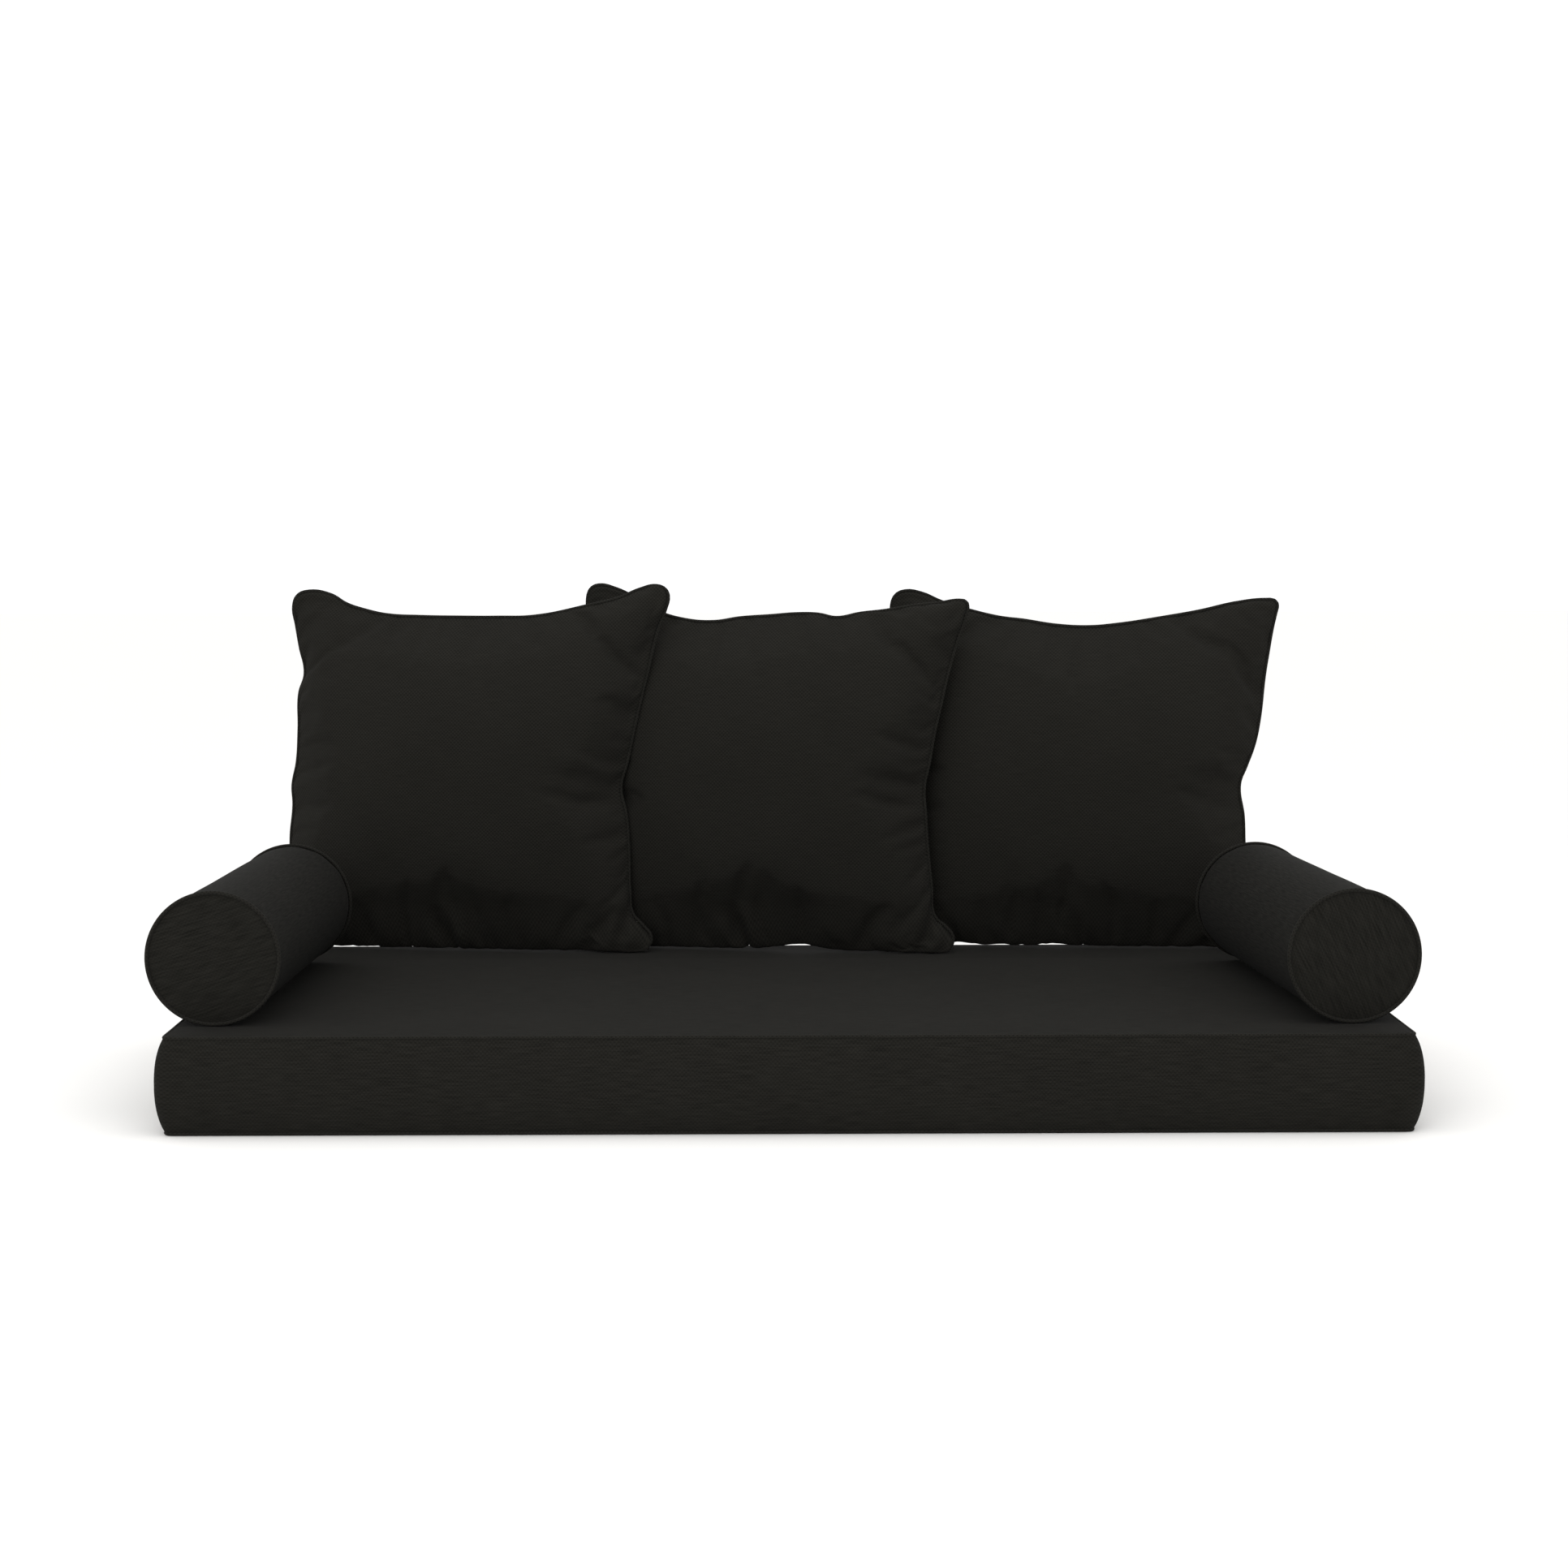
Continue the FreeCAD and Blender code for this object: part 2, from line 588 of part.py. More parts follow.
def bolster_parts(side):
    parts = {}
    half = BOLSTER_LENGTH / 2
    tube_end = half - 2 * WELT_RADIUS - SEAM_GAP
    disc_middle = half - WELT_RADIUS
    disc_radius = BOLSTER_RING_RADIUS - WELT_RADIUS - SEAM_GAP
    for name, sign in (("front", -1), ("rear", 1)):
        centre = Vector(0, sign * disc_middle, 0)
        parts["%s_welt" % name] = Part.makeTorus(BOLSTER_RING_RADIUS, WELT_RADIUS, centre, Y_AXIS)
        low, high = sorted((sign * (disc_middle - FABRIC / 2), sign * (disc_middle + FABRIC / 2)))
        parts["%s_disc" % name] = cylinder_along_y(disc_radius, low, high)

    length = ZIP_LENGTHS["bolster"]
    zip_place = frame_placement(*bolster_zip_frame(side))
    slot = box_between(
        (-length / 2, -SLOT_HALF_WIDTH, -ZIP_DEPTH), (length / 2, SLOT_HALF_WIDTH, 2 * ZIP_DEPTH)
    )
    outer = cylinder_along_y(BOLSTER_TUBE_RADIUS, -tube_end, tube_end)
    inner = cylinder_along_y(BOLSTER_TUBE_RADIUS - FABRIC, -half, half)
    parts["tube_cover"] = outer.cut(inner).cut(placed(slot, zip_place))

    core_end = disc_middle - FABRIC / 2 - REST_GAP
    core = cylinder_along_y(BOLSTER_FOAM_RADIUS, -core_end, core_end)
    hollow = cylinder_along_y(BOLSTER_FOAM_RADIUS + SEAM_GAP, -half, half)
    parts["foam_core"] = core
    parts["batting_wrap"] = cylinder_along_y(BOLSTER_BATTING_RADIUS, -core_end, core_end).cut(hollow)

    chain = zip_tapes(length) + zip_coils(length) + zip_stops(length)
    parts["zip"] = placed(Part.makeCompound(chain), zip_place)
    parts["zip_slider"] = placed(zip_slider(length), zip_place)
    parts["zip_pull"] = placed(zip_pull(length), zip_place)

    place = bolster_placement(side)
    return {"%s_bolster_%s" % (side, name): placed(shape, place) for name, shape in parts.items()}


def all_parts():
    parts = mattress_parts()
    for side in PILLOW_PLACES:
        parts.update(pillow_parts(side))
    for side in BOLSTER_PLACES:
        parts.update(bolster_parts(side))
    return parts


os.makedirs("parts", exist_ok=True)
for node, shape in sorted(all_parts().items()):
    if not shape.isValid():
        raise ValueError("%s is not a valid shape" % node)
    shape.exportStep("parts/%s.step" % node)
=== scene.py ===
"""Daybed set of a box-edged mattress, three knife-edged back pillows and two bolsters,
covered in black woven acrylic canvas and piped in the same cloth."""

import json
import math

import bmesh
import bpy
from mathutils import Matrix, Vector, noise


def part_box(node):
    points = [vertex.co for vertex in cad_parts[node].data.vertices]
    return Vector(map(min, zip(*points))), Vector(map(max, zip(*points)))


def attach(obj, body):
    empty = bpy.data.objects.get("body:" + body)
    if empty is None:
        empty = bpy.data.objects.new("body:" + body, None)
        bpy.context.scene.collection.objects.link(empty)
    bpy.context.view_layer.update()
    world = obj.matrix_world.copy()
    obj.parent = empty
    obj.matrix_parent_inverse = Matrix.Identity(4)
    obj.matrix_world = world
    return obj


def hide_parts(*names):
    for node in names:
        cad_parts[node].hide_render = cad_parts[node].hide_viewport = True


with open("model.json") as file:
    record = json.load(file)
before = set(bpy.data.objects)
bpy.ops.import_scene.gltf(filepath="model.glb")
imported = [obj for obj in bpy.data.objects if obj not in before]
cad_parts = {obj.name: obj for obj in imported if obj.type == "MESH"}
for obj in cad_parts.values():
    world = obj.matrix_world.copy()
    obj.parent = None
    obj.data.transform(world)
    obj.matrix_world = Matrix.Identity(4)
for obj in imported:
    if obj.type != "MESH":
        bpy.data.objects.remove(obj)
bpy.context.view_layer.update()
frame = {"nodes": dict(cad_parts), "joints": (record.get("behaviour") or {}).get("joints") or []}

bl_info = {
    "name": "Daybed Cushion Set",
    "version": (1, 0, 0),
    "blender": (4, 5, 0),
    "location": "3D View > Sidebar > Daybed",
    "description": "Builds the covers, piping, zips and stage of a cushioned daybed set",
    "category": "Object",
}

MM = 0.001
NODES = frame["nodes"]
JOINTS = {joint["name"]: joint for joint in frame["joints"]}
PILLOWS = ("left", "middle", "right")
BOLSTERS = ("left", "right")
CLOTH_UV = "cloth"
SMOOTHING = 1
CORD_RADIUS = 3 * MM
# How far inside the middle of a zip the cloth behind it lies.
CLOTH_BEHIND_ZIP = 2.9 * MM
# Closer than this, two points are one.
SAME_PLACE = 0.01 * MM


def linear(hex_colour):
    """An sRGB hex value as the linear colour that a shader takes."""
    channels = [int(hex_colour[i : i + 2], 16) / 255 for i in (1, 3, 5)]
    return [c / 12.92 if c <= 0.04045 else ((c + 0.055) / 1.055) ** 2.4 for c in channels] + [1.0]


# ---------------------------------------------------------------- settings


def colour_setting(name, description, hex_colour):
    return bpy.props.FloatVectorProperty(
        name=name, description=description, default=linear(hex_colour), size=4, subtype="COLOR", min=0, max=1
    )


def length_setting(name, description, default):
    return bpy.props.FloatProperty(
        name=name, description=description, default=default, min=0, unit="LENGTH", precision=4
    )


class ClothSettings(bpy.types.PropertyGroup):
    yarn_dark: colour_setting("Dark yarn", "Colour in the hollows of the weave", "#0c0c0a")
    yarn_light: colour_setting("Light yarn", "Colour on the tops of the yarns", "#23221f")
    weave_pitch: length_setting("Weave pitch", "Distance over which the weave repeats", 6.4 * MM)
    slub_length: length_setting("Slub length", "Length of a thick place in a yarn", 34 * MM)
    slub_height: length_setting("Slub height", "Width of a thick place in a yarn", 2.6 * MM)
    relief: length_setting("Relief", "Height of the yarns", 0.5 * MM)


class MattressSettings(bpy.types.PropertyGroup):
    crown: length_setting("Crown", "Rise of the sitting area over the seam", 4 * MM)
    bulge: length_setting("Bulge", "How far the sides swell past the seams", 14 * MM)
    pucker: length_setting("Pucker", "Depth of the gathers beside the seams", 0.9 * MM)


class PillowSettings(bpy.types.PropertyGroup):
    crown: length_setting("Crown", "Half the thickness at the middle", 84 * MM)
    movement_cap: length_setting("Movement cap", "Most that a point of the cloth may swell", 14 * MM)
    pressure: bpy.props.FloatProperty(
        name="Pressure", description="Pressure of the filling on the cloth", default=4, min=0
    )
    looseness: bpy.props.FloatProperty(
        name="Looseness",
        description="Share by which the cloth is longer than its seam",
        default=0.035,
        min=0,
        max=0.2,
    )
    ear_fill: bpy.props.FloatProperty(
        name="Ear fill", description="How plump the corners are", default=0.4, min=0, max=0.8
    )
    fill: bpy.props.FloatProperty(
        name="Fill", description="From slack to tight", default=0.75, min=0, max=1, subtype="FACTOR"
    )


class BolsterSettings(bpy.types.PropertyGroup):
    end_crown: length_setting("End crown", "Swell of each end disc", 5 * MM)
    seam_dip: length_setting("Seam dip", "How far the tube draws in beside the piping", 2.2 * MM)


class ZipSettings(bpy.types.PropertyGroup):
    tooth_pitch: length_setting("Tooth pitch", "Distance between teeth in a row", 2.4 * MM)
    tape_width: length_setting("Tape width", "Width of each tape", 12 * MM)


class StageSettings(bpy.types.PropertyGroup):
    floor_colour: colour_setting("Floor", "Colour of the floor", "#f4f3f1")
    world_colour: colour_setting("Surroundings", "Colour of the light all round", "#ffffff")
    lens: bpy.props.FloatProperty(
        name="Lens", description="Focal length of the camera in millimetres", default=68.15, min=1
    )


SETTINGS = {
    "daybed_cloth": ClothSettings,
    "daybed_mattress": MattressSettings,
    "daybed_pillow": PillowSettings,
    "daybed_bolster": BolsterSettings,
    "daybed_zip": ZipSettings,
    "daybed_stage": StageSettings,
}


# ---------------------------------------------------------------- materials


def add_node(tree, kind, inputs, **attributes):
    """Adds a node. A socket given as an input is linked, and anything else is set."""
    node = tree.nodes.new(kind)
    for name, value in attributes.items():
        setattr(node, name, value)
    for name, value in inputs.items():
        if isinstance(value, bpy.types.NodeSocket):
            tree.links.new(value, node.inputs[name])
        else:
            node.inputs[name].default_value = value
    return node


def new_material(name, roughness, colour, **sockets):
    """An empty material with its shader's constants set. Returns it, its tree and its shader."""
    found = bpy.data.materials.get(name)
    if found:
        return found, None, None
    material = bpy.data.materials.new(name)
    material.use_nodes = True
    tree = material.node_tree
    shader = tree.nodes["Principled BSDF"]
    shader.inputs["Roughness"].default_value = roughness
    shader.inputs["Base Color"].default_value = colour
    for socket, value in sockets.items():
        shader.inputs[socket.replace("_", " ")].default_value = value
    material.diffuse_color = colour
    return material, tree, shader


def maths(tree, operation, first, second=0.0, third=0.0):
    return add_node(tree, "ShaderNodeMath", {0: first, 1: second, 2: third}, operation=operation).outputs[0]


def noise_of(tree, vector, scale, detail=2.0):
    return add_node(
        tree, "ShaderNodeTexNoise", {"Vector": vector, "Scale": scale, "Detail": detail}
    ).outputs["Fac"]


def scaled_vector(tree, vector, scale, turn=0.0):
    """The vector turned about Z and then scaled along each axis."""
    turned = add_node(
        tree, "ShaderNodeMapping", {"Vector": vector, "Rotation": (0, 0, turn)}, vector_type="POINT"
    ).outputs[0]
    return add_node(tree, "ShaderNodeMapping", {"Vector": turned, "Scale": scale}).outputs[0]


def finish_cloth(tree, shader, shade, height, dark, light, relief):
    """Colour from shade and bump from height, both from 0 to 1."""
    colour = add_node(
        tree, "ShaderNodeMix", {"Factor": shade, "A": dark, "B": light}, data_type="RGBA", clamp_factor=True
    )
    for socket in colour.inputs:
        if socket.type == "RGBA" and socket.name in "AB":
            socket.default_value = dark if socket.name == "A" else light
    result = next(s for s in colour.outputs if s.type == "RGBA")
    tree.links.new(result, shader.inputs["Base Color"])
    bump = add_node(tree, "ShaderNodeBump", {"Height": height, "Distance": relief, "Strength": 0.7})
    tree.links.new(bump.outputs[0], shader.inputs["Normal"])


# What the slubs and the weave add to the shade together.
SLUB_AND_WEAVE = 0.82


def canvas(name, grain_turn=0.0, weave_share=0.42, painted_light_shift=0.0):
    """Solution-dyed acrylic canvas in a basket weave, with slubs: matt, with a faint bloom at a
    low angle. The yarns are 2 mm apart in a pair, and the repeat is drawn coarser than the real
    4 mm so that it shows from the far side of a room. The last argument is painted light and
    shade: above nought it paints the whole cloth paler, and below nought darker, in place of
    the light that falls on that piece."""
    cloth = bpy.context.scene.daybed_cloth
    material, tree, shader = new_material(
        name,
        0.95,
        cloth.yarn_light[:],
        Specular_IOR_Level=0.04,
        Sheen_Weight=0.012,
        Sheen_Roughness=0.5,
    )
    if tree is None:
        return material
    flat = add_node(tree, "ShaderNodeUVMap", {}, uv_map=CLOTH_UV).outputs[0]
    repeats = 2 * math.pi / cloth.weave_pitch
    threads = scaled_vector(tree, flat, (repeats, repeats, 1), grain_turn)
    apart = add_node(tree, "ShaderNodeSeparateXYZ", {0: threads})
    warp = maths(tree, "SINE", apart.outputs[0])
    weft = maths(tree, "SINE", apart.outputs[1])
    weave = maths(tree, "MULTIPLY_ADD", maths(tree, "MULTIPLY", warp, weft), 0.5, 0.5)
    streaks = scaled_vector(tree, flat, (1 / cloth.slub_length, 1 / cloth.slub_height, 1), grain_turn)
    slub = noise_of(tree, streaks, 1.0, 3.0)
    slub = add_node(
        tree, "ShaderNodeMapRange", {"Value": slub, "From Min": 0.3, "From Max": 0.7}
    ).outputs[0]
    bloom = noise_of(tree, flat, 7.0, 2.0)
    fuzz = noise_of(tree, flat, 900.0, 1.0)
    # Painted light and shade: the last argument shifts the shade of the whole cloth. It makes the pillows
    # paler and the bolster tubes darker.
    shade = maths(tree, "MULTIPLY_ADD", weave, weave_share, painted_light_shift)
    shade = maths(tree, "MULTIPLY_ADD", slub, SLUB_AND_WEAVE - weave_share, shade)
    shade = maths(tree, "MULTIPLY_ADD", bloom, 0.20, shade)
    shade = maths(tree, "MULTIPLY_ADD", fuzz, 0.10, shade)
    height = maths(tree, "MULTIPLY_ADD", slub, 0.35, maths(tree, "MULTIPLY", weave, 0.65))
    finish_cloth(tree, shader, shade, height, cloth.yarn_dark[:], cloth.yarn_light[:], cloth.relief)
    return material


def bias_piping():
    """The same canvas cut on the bias and sewn round a cord: the weave crosses it as slanting
    ticks, and the rubbed top of the cord is a little lighter."""
    cloth = bpy.context.scene.daybed_cloth
    material, tree, shader = new_material(
        "acrylic_canvas_bias_cut_piping",
        0.9,
        cloth.yarn_light[:],
        Specular_IOR_Level=0.05,
        Sheen_Weight=0.02,
        Sheen_Roughness=0.5,
    )
    if tree is None:
        return material
    flat = add_node(tree, "ShaderNodeUVMap", {}, uv_map=CLOTH_UV).outputs[0]
    repeats = 2 * math.pi / cloth.weave_pitch
    apart = add_node(tree, "ShaderNodeSeparateXYZ", {0: scaled_vector(tree, flat, (repeats, repeats, 1))})
    slant_one = maths(tree, "SINE", maths(tree, "ADD", apart.outputs[0], apart.outputs[1]))
    slant_two = maths(tree, "SINE", maths(tree, "SUBTRACT", apart.outputs[0], apart.outputs[1]))
    weave = maths(tree, "MULTIPLY_ADD", maths(tree, "MAXIMUM", slant_one, slant_two), 0.5, 0.5)
    wear = noise_of(tree, flat, 60.0, 2.0)
    shade = maths(tree, "MULTIPLY_ADD", weave, 0.62, maths(tree, "MULTIPLY", wear, 0.45))
    finish_cloth(tree, shader, shade, weave, cloth.yarn_dark[:], cloth.yarn_light[:], cloth.relief)
    return material


def polyurethane_foam():
    """Cut polyurethane foam: dull cream, pitted by open cells about 1.5 mm across."""
    material, tree, shader = new_material("polyurethane_foam_cut", 0.95, linear("#ddd2ae"))
    if tree is not None:
        place = add_node(tree, "ShaderNodeTexCoord", {}).outputs["Object"]
        cells = add_node(tree, "ShaderNodeTexVoronoi", {"Vector": place, "Scale": 1 / (1.5 * MM)}).outputs[0]
        finish_cloth(tree, shader, cells, cells, linear("#c6b98e"), linear("#e6dcbc"), 0.4 * MM)
    return material


def polyester_wadding():
    """Lofted polyester wadding: white, soft, with matted fibres that run one way."""
    material, tree, shader = new_material(
        "polyester_wadding_lofted", 0.9, linear("#e9e9e6"), Sheen_Weight=0.3, Sheen_Roughness=0.6
    )
    if tree is not None:
        place = add_node(tree, "ShaderNodeTexCoord", {}).outputs["Object"]
        fibres = noise_of(tree, scaled_vector(tree, place, (60, 260, 400), 0.4), 1.0, 4.0)
        finish_cloth(tree, shader, fibres, fibres, linear("#d4d4d0"), linear("#f3f3f1"), 1.0 * MM)
    return material


def cotton_lining():
    """Downproof cotton lining in plain weave: off-white and smooth, with 1 mm yarns drawn twice
    their real size."""
    material, tree, shader = new_material("cotton_lining_plain_weave", 0.8, linear("#dcd8cc"))
    if tree is not None:
        place = add_node(tree, "ShaderNodeTexCoord", {}).outputs["Object"]
        repeats = 2 * math.pi / (2 * MM)
        apart = add_node(tree, "ShaderNodeSeparateXYZ", {0: scaled_vector(tree, place, (repeats,) * 3)})
        across = maths(tree, "SINE", apart.outputs[0])
        upward = maths(tree, "SINE", apart.outputs[2])
        weave = maths(tree, "MULTIPLY_ADD", maths(tree, "MULTIPLY", across, upward), 0.5, 0.5)
        finish_cloth(tree, shader, weave, weave, linear("#c9c4b4"), linear("#e6e3d8"), 0.2 * MM)
    return material


def zip_tape():
    """Woven polyester zip tape: black herringbone ribs 1.2 mm apart, smoother than canvas."""
    material, tree, shader = new_material(
        "polyester_zip_tape_herringbone", 0.7, linear("#161616"), Specular_IOR_Level=0.25
    )
    if tree is not None:
        flat = add_node(tree, "ShaderNodeUVMap", {}, uv_map=CLOTH_UV).outputs[0]
        repeats = 2 * math.pi / (1.2 * MM)
        apart = add_node(tree, "ShaderNodeSeparateXYZ", {0: scaled_vector(tree, flat, (repeats, repeats, 1))})
        folded = maths(tree, "PINGPONG", apart.outputs[1], 2 * math.pi * 2.5)
        ribs = maths(tree, "SINE", maths(tree, "ADD", apart.outputs[0], folded))
        ribs = maths(tree, "MULTIPLY_ADD", ribs, 0.5, 0.5)
        finish_cloth(tree, shader, ribs, ribs, linear("#0d0d0d"), linear("#262626"), 0.2 * MM)
    return material


def nylon_coil():
    """Extruded nylon coil: black and slightly glossy, with faint drawing marks."""
    material, tree, shader = new_material("nylon_coil_extruded", 0.35, linear("#151515"))
    if tree is not None:
        place = add_node(tree, "ShaderNodeTexCoord", {}).outputs["Object"]
        marks = noise_of(tree, place, 1500.0, 2.0)
        finish_cloth(tree, shader, marks, marks, linear("#101010"), linear("#1e1e1e"), 0.05 * MM)
    return material


def enamelled_zinc():
    """Die-cast zinc with black enamel: smooth and glossy, worn a little brighter in patches."""
    material, tree, shader = new_material(
        "zinc_die_cast_black_enamel", 0.32, linear("#1b1b1c"), Coat_Weight=0.4, Coat_Roughness=0.15
    )
    if tree is not None:
        place = add_node(tree, "ShaderNodeTexCoord", {}).outputs["Object"]
        worn = noise_of(tree, place, 420.0, 4.0)
        sharp = add_node(tree, "ShaderNodeMapRange", {"Value": worn, "From Min": 0.55, "From Max": 0.75})
        finish_cloth(
            tree, shader, sharp.outputs[0], worn, linear("#171718"), linear("#4a4a4c"), 0.03 * MM
        )
    return material


# ---------------------------------------------------------------- making pieces


def to_piece(name, bm, materials, body, replaced=(), smooth=True):
    """Turns a bmesh into a piece that rides on a body."""
    mesh = bpy.data.meshes.new(name)
    bm.to_mesh(mesh)
    bm.free()
    return mesh_piece(name, mesh, materials, body, replaced, smooth)


def mesh_piece(name, mesh, materials, body, replaced=(), smooth=True):
    mesh.name = name
    mesh.materials.clear()
    for material in materials:
        mesh.materials.append(material)
    if smooth:
        mesh.shade_smooth()
    piece = bpy.data.objects.new(name, mesh)
    bpy.context.scene.collection.objects.link(piece)
    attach(piece, body)
    if replaced:
        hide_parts(*replaced)
    return piece


def subdivide(piece):
    modifier = piece.modifiers.new("Smoothing", "SUBSURF")
    modifier.levels = SMOOTHING
    modifier.render_levels = SMOOTHING


def smooth_step(value):
    value = max(0.0, min(1.0, value))
    return value * value * (3 - 2 * value)


def extent(node, axis):
    """Lowest and highest place of a CAD node along an axis."""
    reach = [vertex.co.dot(axis) for vertex in NODES[node].data.vertices]
    return min(reach), max(reach)


def even_line(points, spacing):
    """The closed line through the points, as evenly spaced points."""
    lengths = [0.0]
    loop = list(points) + [points[0]]
    for before, after in zip(loop, loop[1:]):
        lengths.append(lengths[-1] + (after - before).length)
    count = max(8, round(lengths[-1] / spacing))
    placed = []
    index = 0
    for k in range(count):
        target = lengths[-1] * k / count
        while lengths[index + 1] < target:
            index += 1
        span = lengths[index + 1] - lengths[index]
        placed.append(loop[index].lerp(loop[index + 1], (target - lengths[index]) / max(span, 1e-9)))
    return placed


def piping(name, points, radius, body, replaced):
    """A round cord in a cloth strip, along a closed line of points."""
    curve = bpy.data.curves.new(name, "CURVE")
    curve.dimensions = "3D"
    curve.bevel_depth = radius
    curve.bevel_resolution = 3
    spline = curve.splines.new("POLY")
    spline.points.add(len(points) - 1)
    for place, point in zip(spline.points, points):
        place.co = (*point, 1)
    spline.use_cyclic_u = True
    holder = bpy.data.objects.new(name, curve)
    mesh = bpy.data.meshes.new_from_object(holder)
    bpy.data.objects.remove(holder)
    bpy.data.curves.remove(curve)
    length = sum((b - a).length for a, b in zip(points, points[1:] + points[:1]))
    layer = mesh.uv_layers[0]
    layer.name = CLOTH_UV
    round_length = 2 * math.pi * radius
    for item in layer.data:
        item.uv = (item.uv[0] * length, item.uv[1] * round_length)
    return mesh_piece(name, mesh, [bias_piping()], body, replaced)


# ---------------------------------------------------------------- mattress


def cut_rows(bm, axis, places):
    """Cuts the mesh square to an axis at each place."""
    normal = Vector((0, 0, 0))
    normal[axis] = 1
    for place in places:
        geometry = bm.verts[:] + bm.edges[:] + bm.faces[:]
        bmesh.ops.bisect_plane(bm, geom=geometry, plane_co=normal * place, plane_no=normal)


def evenly(start, end, step):
    count = max(1, round((end - start) / step))
    return [start + (end - start) * k / count for k in range(count + 1)]


class RoundedRectangle:
    """The plan of the mattress seams, and distances along and away from it."""

    def __init__(self, half_x, half_y, radius):
        self.flat_x = half_x - radius
        self.flat_y = half_y - radius
        self.radius = radius

    def nearest(self, x, y):
        """Corner-circle centre for a point, and the unit vector out of the plan there."""
        centre = Vector((max(-self.flat_x, min(self.flat_x, x)), max(-self.flat_y, min(self.flat_y, y))))
        away = Vector((x, y)) - centre
        return centre, away.normalized()

    def along(self, x, y):
        """Distance round the plan from the left end of the front side."""
        centre, away = self.nearest(x, y)
        quarter = self.radius * math.pi / 2
        angle = math.atan2(away.y, away.x)
        long_side = 2 * self.flat_x
        short_side = 2 * self.flat_y
        if angle < -math.pi / 2 - 1e-6:
            return -quarter + self.radius * (angle + math.pi)
        if angle < -math.pi / 2 + 1e-6:
            return centre.x + self.flat_x
        if angle < -1e-6:
            return long_side + self.radius * (angle + math.pi / 2)
        if angle < 1e-6:
            return long_side + quarter + centre.y + self.flat_y
        if angle < math.pi / 2 - 1e-6:
            return long_side + quarter + short_side + self.radius * angle
        if angle < math.pi / 2 + 1e-6:
            return long_side + 2 * quarter + short_side + self.flat_x - centre.x
        if angle < math.pi - 1e-6:
            return 2 * long_side + 2 * quarter + short_side + self.radius * (angle - math.pi / 2)
        return 2 * long_side + 3 * quarter + short_side + self.flat_y - centre.y

    def total(self):
        return 4 * (self.flat_x + self.flat_y) + 2 * math.pi * self.radius

    def line(self, inset, height, step):
        """Points round the plan, drawn in by inset."""
        radius = self.radius - inset
        points = []
        for start, sign_x, sign_y in ((-0.5, 1, -1), (0, 1, 1), (0.5, -1, 1), (1, -1, -1)):
            centre = Vector((sign_x * self.flat_x, sign_y * self.flat_y))
            for k in range(7):
                angle = math.pi * (start + k / 12)
                points.append(
                    Vector((centre.x + radius * math.cos(angle), centre.y + radius * math.sin(angle), height))
                )
        return even_line(points, step)


def gather(along, from_seam, depth, seed):
    """Small gathers that fade away from a seam."""
    fade = math.exp(-from_seam / 0.022)
    waves = noise.noise(Vector((along * 42, from_seam * 18, seed)))
    return depth * fade * waves


def boxing_mesh(plan, height, settings, zip_middle, zip_half_length, chain_depth):
    """The band round the sides, with a sunk line for the zip along the rear."""
    seam_low = 5.0 * MM
    seam_high = height - seam_low
    half_x = plan.flat_x + plan.radius
    half_y = plan.flat_y + plan.radius
    bm = bmesh.new()
    size = (2 * half_x, 2 * half_y, seam_high - seam_low, 1)
    place = Matrix.Translation((0, 0, height / 2)) @ Matrix.Diagonal(size)
    bmesh.ops.create_cube(bm, size=1, matrix=place)
    caps = [face for face in bm.faces if abs(face.normal.z) > 0.5]
    bmesh.ops.delete(bm, geom=caps, context="FACES_ONLY")
    uprights = [e for e in bm.edges if abs(e.verts[0].co.z - e.verts[1].co.z) > height / 2]
    bmesh.ops.bevel(
        bm, geom=uprights, offset=plan.radius, segments=6, profile=0.5, affect="EDGES", material=-1
    )
    cut_rows(bm, 0, evenly(-plan.flat_x, plan.flat_x, 15 * MM)[1:-1])
    cut_rows(bm, 1, evenly(-plan.flat_y, plan.flat_y, 15 * MM)[1:-1])
    lip = 6.3 * MM
    rows = [seam_low + 3 * MM, seam_low + 8 * MM]
    rows += evenly(seam_low + 16 * MM, zip_middle - 12 * MM, 10 * MM)
    rows += [zip_middle + d * MM for d in (-8.0, -6.3, -5.6, 0.0, 5.6, 6.3, 8.0)]
    rows += evenly(zip_middle + 12 * MM, seam_high - 16 * MM, 10 * MM)
    rows += [seam_high - 8 * MM, seam_high - 3 * MM]
    cut_rows(bm, 2, rows)
    uv = bm.loops.layers.uv.new(CLOTH_UV)
    total = plan.total()
    for face in bm.faces:
        places = [plan.along(loop.vert.co.x, loop.vert.co.y) for loop in face.loops]
        wrapped = max(places) - min(places) > total / 2
        for loop, along in zip(face.loops, places):
            if wrapped and along > total / 2:
                along -= total
            loop[uv].uv = (along, loop.vert.co.z)
    trough = half_y + settings.bulge - chain_depth
    for vertex in bm.verts:
        x, y, z = vertex.co
        centre, away = plan.nearest(x, y)
        along = plan.along(x, y)
        level = 2 * (z - height / 2) / (seam_high - seam_low)
        swell = settings.bulge * (1 - abs(level) ** 2.5) - 1.0 * MM * abs(level) ** 12
        from_seam = min(z - seam_low, seam_high - z)
        seed = 3.0 if z > height / 2 else 9.0
        swell += gather(along, from_seam, settings.pucker, seed)
        quiet = smooth_step(abs(z - zip_middle) / (30 * MM)) if away.y > 0.9 else 1.0
        swell += 1.4 * MM * quiet * (1 - level**2) * noise.noise(Vector((along * 3.1, z * 9, 5)))
        at_zip = away.y > 0.999 and abs(x) < zip_half_length and abs(z - zip_middle) < lip - 0.2 * MM
        reach = trough - plan.flat_y if at_zip else plan.radius + swell
        vertex.co = (centre.x + away.x * reach, centre.y + away.y * reach, z)
    return bm


